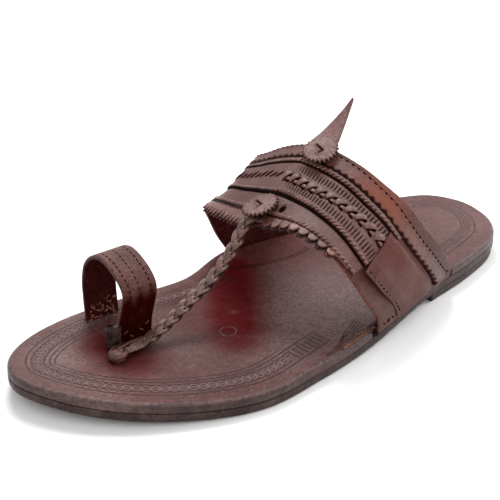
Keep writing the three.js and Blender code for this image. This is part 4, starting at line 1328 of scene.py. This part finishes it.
def pinked_strip(context):
    """The strip near the rear edge with zigzag teeth and a row of stitches."""
    mats = make_leathers(context.scene.sandal_colours)
    sizes = context.scene.sandal_sizes
    bm = bmesh.new()
    pitch = sizes.tooth_pitch / MM
    top = LAYER_GAP + sizes.overlay / MM

    def teeth(u):
        turn = np.abs(np.mod(u / pitch, 1.0) - 0.5) * 2
        return -2.3 * turn

    band_strip(bm, (0.03, 0.97), PINKED, LAYER_GAP, top, step=(pitch / 8, 0.8), front=teeth, radius=0.35,
               red=warm_patch, wave=over_patch)
    # painted shadow: a dark rod under the teeth
    thread_line(bm, 0.768, (0.05, 0.945), 0.95, 1.7, 2)
    # painted shade: the stitches are darkened fully in the stitched groove
    stitch_row(bm, [(0.03, 0.926), (0.97, 0.926)], top + 0.2, 2.9, (2.1, 1.2, 0.7), 2, 1.0)
    thread_line(bm, 0.93, (0.03, 0.97), top - 0.15, 0.8, 2)
    finish_piece("pinked_strip_leather", bm, [mats["warm"], mats["rim"], mats["thread"]],
                 "pinked_strip")


def patches(context):
    """The side patches over the ends of the strips."""
    mats = make_leathers(context.scene.sandal_colours)
    for name, node, (start, stop), foot, rear in (
            ("inner_patch_leather", "inner_patch", INNER_PATCH, INNER_PATCH[0], 0.78),
            ("outer_patch_leather", "outer_patch", OUTER_PATCH, OUTER_PATCH[1], 0.68)):
        bm = bmesh.new()
        us = spaced(start * band_girth, stop * band_girth, 1.2)
        vs = spaced(PATCH_BACK * band_width, rear * band_width, 1.2)

        def inward_share(u):
            return np.abs(u / band_girth - foot) / (stop - start)

        def slant(u):
            return PATCH_SLANT * (1 - inward_share(u)) * band_width

        def lapped(u, v):
            return 1.9 * smooth(0.15, 0.85, inward_share(u)) * (1 - smooth(vs[-1] - 7, vs[-1] - 1.5, v))

        def place(u, v, side):
            shift = slant(u) * (1 - smooth(vs[0], vs[-1], v))
            ease = rounded(edge_distance(u, v, us, vs), 0.8)
            swell = 0.2 * np.sin(u * 0.35) * np.sin(v * 0.18)
            inward = inward_share(u)
            lap = lapped(u, v)
            thin = 0.7 * smooth(0.86, 0.95, inward) + 0.8 * smooth(vs[-1] - 5, vs[-1] - 1, v)
            thin = thin + 1.2 * (1 - smooth(vs[0], vs[0] + 6, v))
            top = LAYER_GAP + lap + np.maximum(1.7 - thin, 0.55) * ease + swell * ease
            reach = (0.045 * (v - vs[0]) / (vs[-1] - vs[0]) - 0.012) * inward**2
            along = u / band_girth + (reach if foot < 0.5 else -reach)
            height = np.where(side > 0, top, LAYER_GAP + lap)
            return on_band(along, (v + shift) / band_width, height, as_given)

        def blush(u, v, side):
            return np.zeros(len(u)), 0.5 * np.exp(-(((v - 22) / 12) ** 2)) * (side > 0)

        add_sheet(bm, us, vs, place, blush, rim=1)
        spots = np.arange(start + 0.02, stop - 0.012, 0.0145)
        backs = PATCH_BACK + 0.028 + slant(spots * band_girth) / band_width
        heights = LAYER_GAP + 0.5 + lapped(spots * band_girth, backs * band_width)
        stitches = [(p + n * h, a, n, 1.8, 1.0, 0.9)
                    for (p, a, _, n), h in zip(frames(spots, backs, as_given), heights)]
        add_pads(bm, stitches, 2, 1.0, sides=(6, 4))
        finish_piece(name, bm, [mats["patch"], mats["rim"], mats["thread"]], node)


# Rosettes and leaf


def rosette_piece(context, name, node, place, height, tilt):
    """A toothed disc with a hooked slit, held over the band by a stem and tipped forwards."""
    mats = make_leathers(context.scene.sandal_colours)
    sizes = context.scene.sandal_sizes
    radius = sizes.rosette / MM / 2
    point, across, rearward, normal = next(frames(*place))
    stem = point + normal * np.linspace(0, height + 0.3, 6)[:, None]
    point = point + normal * height
    rearward, normal = turned(rearward, normal, -tilt), turned(normal, rearward, tilt)
    thickness = 1.3
    teeth = sizes.rosette_teeth
    us = np.linspace(0, 2 * math.pi, teeth * 6 + 1)
    rim = [radius - inset for inset in (0.7, 0.35, 0.12, 0)]
    vs = np.concatenate([[0.02], np.linspace(0.4, radius - 1.2, 14), rim])

    def slit(x, y):
        """Hooked cut in the middle: a short bar with a bend at one end."""
        c, s = math.cos(SLIT_TURN), math.sin(SLIT_TURN)
        x, y = c * x + s * y, c * y - s * x
        bar = np.hypot(np.maximum(np.abs(x) - 2.6, 0), y)
        hook = np.hypot(x - 2.6, np.maximum(np.abs(y + 1.2) - 1.2, 0))
        return np.minimum(bar, hook)

    def placed(u, v, side):
        tooth = 1 - 0.2 * (v / radius) ** 6 * np.abs(np.mod(u * teeth / (2 * math.pi), 1.0) - 0.5) * 2
        x, y = v * tooth * np.cos(u), v * tooth * np.sin(u)
        gap = slit(x, y)
        ease = rounded(radius - v, 0.7)
        dome = 0.5 * (1 - (v / radius) ** 2)
        lip = 0.45 * np.exp(-((gap - 1.0) / 0.5) ** 2)
        cut = 1.1 * (1 - smooth(0.15, 0.6, gap))
        top = thickness * ease + dome + lip - cut
        z = np.where(side > 0, top, dome * 0.5) - x**2 / 180
        return point + across * x[:, None] + rearward * y[:, None] + normal * z[:, None]

    def paint(u, v, side):
        gap = slit(v * np.cos(u), v * np.sin(u))
        # painted shade: darkens the hooked slit
        return (1 - smooth(0.2, 0.65, gap)) * (side > 0), np.zeros(len(u))

    bm = bmesh.new()
    add_sheet(bm, us, vs, placed, paint, weld=True, rim=1)
    holes = [edge for edge in bm.edges if edge.is_boundary]
    bmesh.ops.holes_fill(bm, edges=holes, sides=0)
    add_rod(bm, stem, across, 8.0, 8.0, sides=20, material=1, square=1.0)
    spots = []
    for k in range(0, teeth, 2):
        out = turned(across, rearward, 2 * math.pi * (k + 0.5) / teeth)
        middle = point + out * (radius - 2.6) + normal * (thickness + 0.05)
        spots.append((middle, out, normal, 0.8, 0.7, 0.35))
    add_pads(bm, spots, 2, sides=(6, 4))
    finish_piece(name, bm, [mats["rosette"], mats["rim"], mats["thread"]], node)


def rosettes(context):
    """Both rosettes, each on a short stem."""
    seat = context.scene.sandal_sizes.overlay / MM + 2 * LAYER_GAP
    rosette_piece(context, "front_rosette_leather", "front_rosette", FRONT_ROSETTE, seat + 2.5 + LAYER_GAP,
                  math.radians(FRONT_TILT))
    rosette_piece(context, "rear_rosette_leather", "rear_rosette", REAR_ROSETTE, seat + 1.5 + 2 * LAYER_GAP,
                  math.radians(REAR_TILT))


def spike(context):
    """The pointed leaf that rises from under the rear rosette."""
    mats = make_leathers(context.scene.sandal_colours)
    point, across, rearward, normal = next(frames(*REAR_ROSETTE))
    length, width, thickness = LEAF_SIZE
    seat = context.scene.sandal_sizes.overlay / MM + 2 * LAYER_GAP
    start = point + normal * seat - rearward * 0.12 * length
    us = np.linspace(-1, 1, 19)
    us = np.sign(us) * np.abs(us) ** 0.8
    vs = np.linspace(0, 1, 50)

    def smoothly(v, values):
        line = through(np.column_stack([LEAF_RUNS, values]), 200)
        return np.interp(v, line[:, 0], line[:, 1])

    def place(u, v, side):
        half = smoothly(v, LEAF_WIDTHS) * width / 2
        ease = rounded((1 - np.abs(u)) * half, 0.6)
        crown = 0.5 * (1 - u**2)
        z = smoothly(v, LEAF_LIFTS) * length + np.where(side > 0, thickness * ease + crown * 0.6, crown * 0.4)
        sideways = -2.6 * (1 - v) - u * half
        return start + rearward * (v * length)[:, None] + across * sideways[:, None] + normal * z[:, None]

    bm = bmesh.new()
    add_sheet(bm, us, vs, place, rim=1)
    finish_piece("leaf_leather", bm, [mats["spike"], mats["rim"]], "spike")


# Toe loop, thong, knot and wrapped end


def loop_x(share):
    """Place across of a share of the loop's width, from its outer leg."""
    return LOOP_MIDDLE[0] * SOLE_WIDTH - (share - 0.5) * LOOP_WIDTH


def toe_loop(context):
    """The arched strap for the big toe, and the frayed threads at its feet."""
    mats = make_leathers(context.scene.sandal_colours)
    station = LOOP_MIDDLE[1]
    floor = insole_top(station)
    foot = outsole_top(station + LOOP_STRAP / 2 / SOLE_LENGTH) + LAYER_GAP
    points = [(loop_x(0.92), foot), (loop_x(0.92), floor + LAYER_GAP)]
    points += [(loop_x(x), floor + rise * LOOP_HEIGHT) for x, rise in LOOP_SECTION]
    points += [(loop_x(0.15), floor + LAYER_GAP), (loop_x(0.15), foot)]
    path = through(points, 120)
    run = unit(np.gradient(path, axis=0))
    outward = np.column_stack([-run[:, 1], run[:, 0]])
    us = spaced(0, LOOP_STRAP, 1.0)
    vs = np.arange(len(path), dtype=float)

    def place(u, v, side):
        k = v.astype(int)
        ease = rounded(np.minimum(u, LOOP_STRAP - u), 0.9)
        offset = np.where(side > 0, LOOP_WALL / 2 * ease, -LOOP_WALL / 2 * ease)
        y = station_y(station) + (u - LOOP_STRAP / 2)
        return np.column_stack([path[k, 0] + outward[k, 0] * offset, y, path[k, 1] + outward[k, 1] * offset])

    def paint(u, v, side):
        outer_leg = smooth(0.67, 0.76, v / (len(path) - 1) + 0.015 * np.sin(u))
        return np.zeros(len(u)), outer_leg * (side > 0)

    bm = bmesh.new()
    add_sheet(bm, us, vs, place, paint)
    finish_piece("toe_loop_leather", bm, [mats["loop"], mats["flesh"], mats["rim"]], "toe_loop")
    loop_frays(mats, floor)


def loop_frays(mats, floor):
    """Short thread ends: many inside the inner leg of the toe loop and a few by the outer one."""
    middle = station_y(LOOP_MIDDLE[1])
    bm = bmesh.new()
    chance = np.random.default_rng(5)
    t = np.linspace(0, 1, 9)
    for _ in range(44):
        y = middle + chance.uniform(-7.0, 6.0)
        z = floor + 0.8 + 8.0 * chance.uniform(0, 1) ** 1.6
        start = np.array([loop_x(0.92) + 1.3, y, z])
        lean, curl, rise = chance.uniform(-1, 1), chance.uniform(0.4, 1.0), chance.uniform(-1.2, 1.2)
        bend = rise * np.sin(t * 2.0) + 0.4 * t * t
        path = start + np.column_stack([curl * np.sin(t * 3.0), lean * 2.2 * t, bend])
        add_rod(bm, path, (1, 0, 0.2), 0.5, 0.35, sides=6)
    for y, z in ((-6.5, 4.5), (-3.5, 2.6), (1.5, 3.4), (4.5, 6.5), (-5.0, 8.5), (2.0, 9.5)):
        start = np.array([loop_x(0.15) + 1.5, middle + y, floor + z])
        path = start + np.column_stack([0.3 * np.sin(t * 3), 1.9 * t, 0.8 * np.sin(t * 2.2 + y)])
        add_rod(bm, path, (1, 0, 0), 0.6, 0.45, sides=6)
    finish_piece("loop_frays", bm, [mats["fray"]], None)


def over_floor(place, rise):
    """A point in mm over a place at the toe, with its rise over the insole."""
    across, station, floor = place
    return np.array([across * SOLE_WIDTH, station_y(station), insole_top(floor) + rise])


def thong_line():
    """The thong's route from the knot to its end under the front rosette."""
    points = [(x * SOLE_WIDTH, station_y(s), insole_top(s) + rise * FRONT_CREST)
              for x, s, rise in THONG_ROUTE]
    point, _, _, normal = next(frames(FRONT_ROSETTE[0], FRONT_ROSETTE[1] * 0.9))
    points.append(tuple(point + normal * (LAYER_GAP + 2.6)))
    return through(points, 260)


def thong(context):
    """Three strands swung round each other, with dark pads as painted shade in the holes and under the plait,
    and two ends at the knot.
    """
    mats = make_leathers(context.scene.sandal_colours)
    pitch = context.scene.sandal_sizes.plait_pitch / MM
    line = thong_line()
    travelled = np.linspace(0, length_of(line), len(line))
    run = unit(np.gradient(line, axis=0))
    side = unit(np.cross(run, (0, 0, 1.0)))
    up = unit(np.cross(side, run))
    bm = bmesh.new()
    ends = smooth(0, 5, travelled) * 0.5 + 0.5
    for k in range(3):
        angle = 2 * math.pi * travelled / pitch + 2 * math.pi * k / 3
        path = line + side * (np.sin(angle) * 1.75 * ends)[:, None] + up * (np.sin(2 * angle) * 0.5)[:, None]
        tilt = unit(up + side * (np.sin(angle) * 0.35)[:, None])
        # painted shade where a strand passes under the others
        under = 0.8 * smooth(0.3, -0.9, np.sin(2 * angle))
        add_rod(bm, path, tilt, 3.7, 1.1, sides=16, depth=under, square=0.5, edges=0.85)
    # painted shade: a dark strip under the plait
    add_rod(bm, line[8:-8] - up[8:-8] * 0.2, up[8:-8], 4.6, 1.3, sides=8, material=1)
    # painted shade: dark pads in the holes between the strands
    holes = []
    for lead, offset, lift in ((0.25, -0.8, 0.85), (0.75, 1.9, 0.65)):
        spots = np.arange(6 + lead * pitch / 3, travelled[-1] - 3, pitch / 3)
        for spot in spots:
            k = int(np.searchsorted(travelled, spot))
            middle = line[k] + side[k] * offset + up[k] * lift
            holes.append((middle, run[k] + side[k] * 0.3, up[k], 1.9, 0.8, 0.5))
    add_pads(bm, holes, 1, sides=(6, 5))
    knot_top = over_floor(KNOT_PLACE, 3.4)
    for sway, lift in ((2.3, 0.4), (-1.9, 0.9)):
        start = line[26] + side[26] * sway * 0.6
        points = [start, line[10] + side[10] * sway + up[10] * lift, knot_top + (sway * 0.5, 0, lift)]
        path = through(points, 30)
        turning = np.sin(np.linspace(0, 1.6, len(path))) * sway * 0.3
        twist = unit(np.column_stack([turning, 0 * turning, 0 * turning + 1]))
        add_rod(bm, path, twist, 3.0, 0.9, sides=12, square=0.5, edges=0.8)
    finish_piece("thong_plait", bm, [mats["thong"], mats["dark"]], "thong")


def knot(context):
    """The knot of the thong and the wrapped end behind it."""
    mats = make_leathers(context.scene.sandal_colours)
    bm = bmesh.new()
    middle = over_floor(KNOT_PLACE, 3.2)
    add_pads(bm, [(middle - (0, 0, 0.8), (0, 1, 0), (0, 0, 1), 8.6, 7.6, 4.6)], sides=(16, 10))
    t = np.linspace(0, 1, 40)
    for radius, tilt, lead, width in ((4.0, 0.5, 0.4, 3.0), (3.7, -0.7, 2.2, 2.8), (4.1, 1.1, 4.0, 2.6)):
        angle = lead + t * 4.4
        ring = np.column_stack([np.cos(angle) * radius, np.sin(angle) * radius, np.sin(angle + tilt) * 1.3])
        path = middle + ring * 0.9 - (0, 0, 0.5)
        add_rod(bm, path, unit(ring + (0, 0, 2.0)), width * 0.9, 1.3, sides=10, edges=0.8)
    finish_piece("thong_knot_leather", bm, [mats["knot"]], "thong_knot")
    bm = bmesh.new()
    base = over_floor(POST_PLACE, 0.3)
    spin = np.linspace(0, 1, 60)
    core = base + np.column_stack([0.4 * np.sin(spin * 3), 0.3 * np.cos(spin * 4), spin * 9.4])
    add_rod(bm, core, (1, 0, 0), 5.6 + np.sin(spin * 9), 5.2 + np.cos(spin * 7), sides=12)
    for lead in (0.0, 2.3):
        angle = lead + spin * 7.5
        wrap = base + np.column_stack([np.cos(angle) * 2.9, np.sin(angle) * 2.9, 0.8 + spin * 8.0])
        add_rod(bm, wrap, np.column_stack([np.cos(angle), np.sin(angle), angle * 0]), 2.6, 1.0, sides=10,
                square=0.5, edges=0.7)
    finish_piece("thong_post_wrap", bm, [mats["grey"]], "thong_post")


def stage(context):
    """Pale floor, soft light and the camera."""
    scene = context.scene
    bm = bmesh.new()
    bmesh.ops.create_grid(bm, x_segments=1, y_segments=1, size=4.0)
    mesh = bpy.data.meshes.new("pale_floor")
    bm.to_mesh(mesh)
    bm.free()
    floor = bpy.data.objects.new("pale_floor", mesh)
    scene.collection.objects.link(floor)
    paper = bpy.data.materials.new("pale_paper")
    paper.use_nodes = True
    shader = paper.node_tree.nodes["Principled BSDF"]
    shader.inputs["Base Color"].default_value = (0.94, 0.94, 0.94, 1)
    shader.inputs["Roughness"].default_value = 0.9
    mesh.materials.append(paper)
    world = bpy.data.worlds.new("studio")
    world.use_nodes = True
    world.node_tree.nodes["Background"].inputs["Color"].default_value = (1, 1, 1, 1)
    world.node_tree.nodes["Background"].inputs["Strength"].default_value = 0.8
    scene.world = world
    scene.view_settings.view_transform = "Standard"
    lamps = (("key_light", (-0.5, 0.3, 0.9), 0.4, 9.0), ("rear_light", (0.2, 0.9, 0.6), 0.5, 5.0),
             ("fill_light", (0.7, -0.6, 0.7), 0.8, 2.0))
    for name, place, size, power in lamps:
        data = bpy.data.lights.new(name, "AREA")
        data.size = size
        data.energy = power
        lamp = bpy.data.objects.new(name, data)
        lamp.location = place
        lamp.rotation_euler = (Vector((0, 0.04, 0.02)) - Vector(place)).to_track_quat("-Z", "Y").to_euler()
        scene.collection.objects.link(lamp)
    add_camera(scene)


def add_camera(scene):
    """The camera, fitted to the outline of the sole."""
    turn, rise, roll = (math.radians(angle) for angle in CAMERA_TURN)
    back = Vector((math.sin(turn) * math.cos(rise), -math.cos(turn) * math.cos(rise), math.sin(rise)))
    right = Vector((math.cos(turn), math.sin(turn), 0))
    up = back.cross(right)
    level = right * math.cos(roll) + up * math.sin(roll)
    upright = up * math.cos(roll) - right * math.sin(roll)
    data = bpy.data.cameras.new("camera")
    data.sensor_width = 36
    data.lens = CAMERA_LENS
    data.shift_x, data.shift_y = CAMERA_SHIFT
    data.clip_start = 0.01
    camera = bpy.data.objects.new("camera", data)
    place = Vector(CAMERA_AIM) + back * CAMERA_DISTANCE
    camera.matrix_world = Matrix.Translation(place) @ Matrix((level, upright, back)).transposed().to_4x4()
    scene.collection.objects.link(camera)
    scene.camera = camera


# Operators and panel


class SANDAL_OT_stage(bpy.types.Operator):
    """Floor, light and camera"""

    bl_idname = "sandal.stage"
    bl_label = "Stage"

    def execute(self, context):
        stage(context)
        return {"FINISHED"}


class SANDAL_OT_outsole(bpy.types.Operator):
    """Outsole and heel lift"""

    bl_idname = "sandal.outsole"
    bl_label = "Outsole"

    def execute(self, context):
        outsole(context)
        return {"FINISHED"}


class SANDAL_OT_insole(bpy.types.Operator):
    """Insole with its stamped border, threads and creases"""

    bl_idname = "sandal.insole"
    bl_label = "Insole"

    def execute(self, context):
        insole(context)
        return {"FINISHED"}


class SANDAL_OT_band(bpy.types.Operator):
    """Wall of the instep band"""

    bl_idname = "sandal.band"
    bl_label = "Band"

    def execute(self, context):
        band(context)
        return {"FINISHED"}


class SANDAL_OT_scallops(bpy.types.Operator):
    """Scalloped front edge"""

    bl_idname = "sandal.scallops"
    bl_label = "Scallops"

    def execute(self, context):
        scallops(context)
        return {"FINISHED"}


class SANDAL_OT_front_strip(bpy.types.Operator):
    """Plain strip with a hole and a cord"""

    bl_idname = "sandal.front_strip"
    bl_label = "Front strip"

    def execute(self, context):
        front_strip(context)
        return {"FINISHED"}


class SANDAL_OT_woven_strap(bpy.types.Operator):
    """Slit rows, cords and lace"""

    bl_idname = "sandal.woven_strap"
    bl_label = "Woven strap"

    def execute(self, context):
        woven_strap(context)
        return {"FINISHED"}


class SANDAL_OT_pinked_strip(bpy.types.Operator):
    """Zigzag strip at the rear"""

    bl_idname = "sandal.pinked_strip"
    bl_label = "Pinked strip"

    def execute(self, context):
        pinked_strip(context)
        return {"FINISHED"}


class SANDAL_OT_patches(bpy.types.Operator):
    """Side patches"""

    bl_idname = "sandal.patches"
    bl_label = "Patches"

    def execute(self, context):
        patches(context)
        return {"FINISHED"}


class SANDAL_OT_rosettes(bpy.types.Operator):
    """Two zigzag discs"""

    bl_idname = "sandal.rosettes"
    bl_label = "Rosettes"

    def execute(self, context):
        rosettes(context)
        return {"FINISHED"}


class SANDAL_OT_spike(bpy.types.Operator):
    """Pointed leaf under the rear rosette"""

    bl_idname = "sandal.spike"
    bl_label = "Leaf"

    def execute(self, context):
        spike(context)
        return {"FINISHED"}


class SANDAL_OT_toe_loop(bpy.types.Operator):
    """Arched strap for the big toe"""

    bl_idname = "sandal.toe_loop"
    bl_label = "Toe loop"

    def execute(self, context):
        toe_loop(context)
        return {"FINISHED"}


class SANDAL_OT_thong(bpy.types.Operator):
    """Plaited thong"""

    bl_idname = "sandal.thong"
    bl_label = "Thong"

    def execute(self, context):
        thong(context)
        return {"FINISHED"}


class SANDAL_OT_knot(bpy.types.Operator):
    """Knot and wrapped end of the thong"""

    bl_idname = "sandal.knot"
    bl_label = "Knot"

    def execute(self, context):
        knot(context)
        return {"FINISHED"}


OPERATORS = (
    SANDAL_OT_stage,
    SANDAL_OT_outsole,
    SANDAL_OT_insole,
    SANDAL_OT_band,
    SANDAL_OT_scallops,
    SANDAL_OT_front_strip,
    SANDAL_OT_woven_strap,
    SANDAL_OT_pinked_strip,
    SANDAL_OT_patches,
    SANDAL_OT_rosettes,
    SANDAL_OT_spike,
    SANDAL_OT_toe_loop,
    SANDAL_OT_thong,
    SANDAL_OT_knot,
)


class SANDAL_PT_pieces(bpy.types.Panel):
    """Sizes, colours and pieces of the sandal."""

    bl_label = "Toe-loop sandal"
    bl_space_type = "VIEW_3D"
    bl_region_type = "UI"
    bl_category = "Sandal"

    def draw(self, context):
        column = self.layout.column()
        for group in (context.scene.sandal_sizes, context.scene.sandal_colours):
            for name in group.bl_rna.properties.keys():
                if name not in ("rna_type", "name"):
                    column.prop(group, name)
        for kind in OPERATORS:
            column.operator(kind.bl_idname)


CLASSES = (SandalSizes, SandalColours, *OPERATORS, SANDAL_PT_pieces)


def register():
    for kind in CLASSES:
        bpy.utils.register_class(kind)
    bpy.types.Scene.sandal_sizes = PointerProperty(type=SandalSizes)
    bpy.types.Scene.sandal_colours = PointerProperty(type=SandalColours)


def unregister():
    del bpy.types.Scene.sandal_sizes
    del bpy.types.Scene.sandal_colours
    for kind in reversed(CLASSES):
        bpy.utils.unregister_class(kind)


def main():
    register()
    for kind in OPERATORS:
        getattr(bpy.ops.sandal, kind.bl_idname.split(".")[1])()


if __name__ == "__main__":
    main()
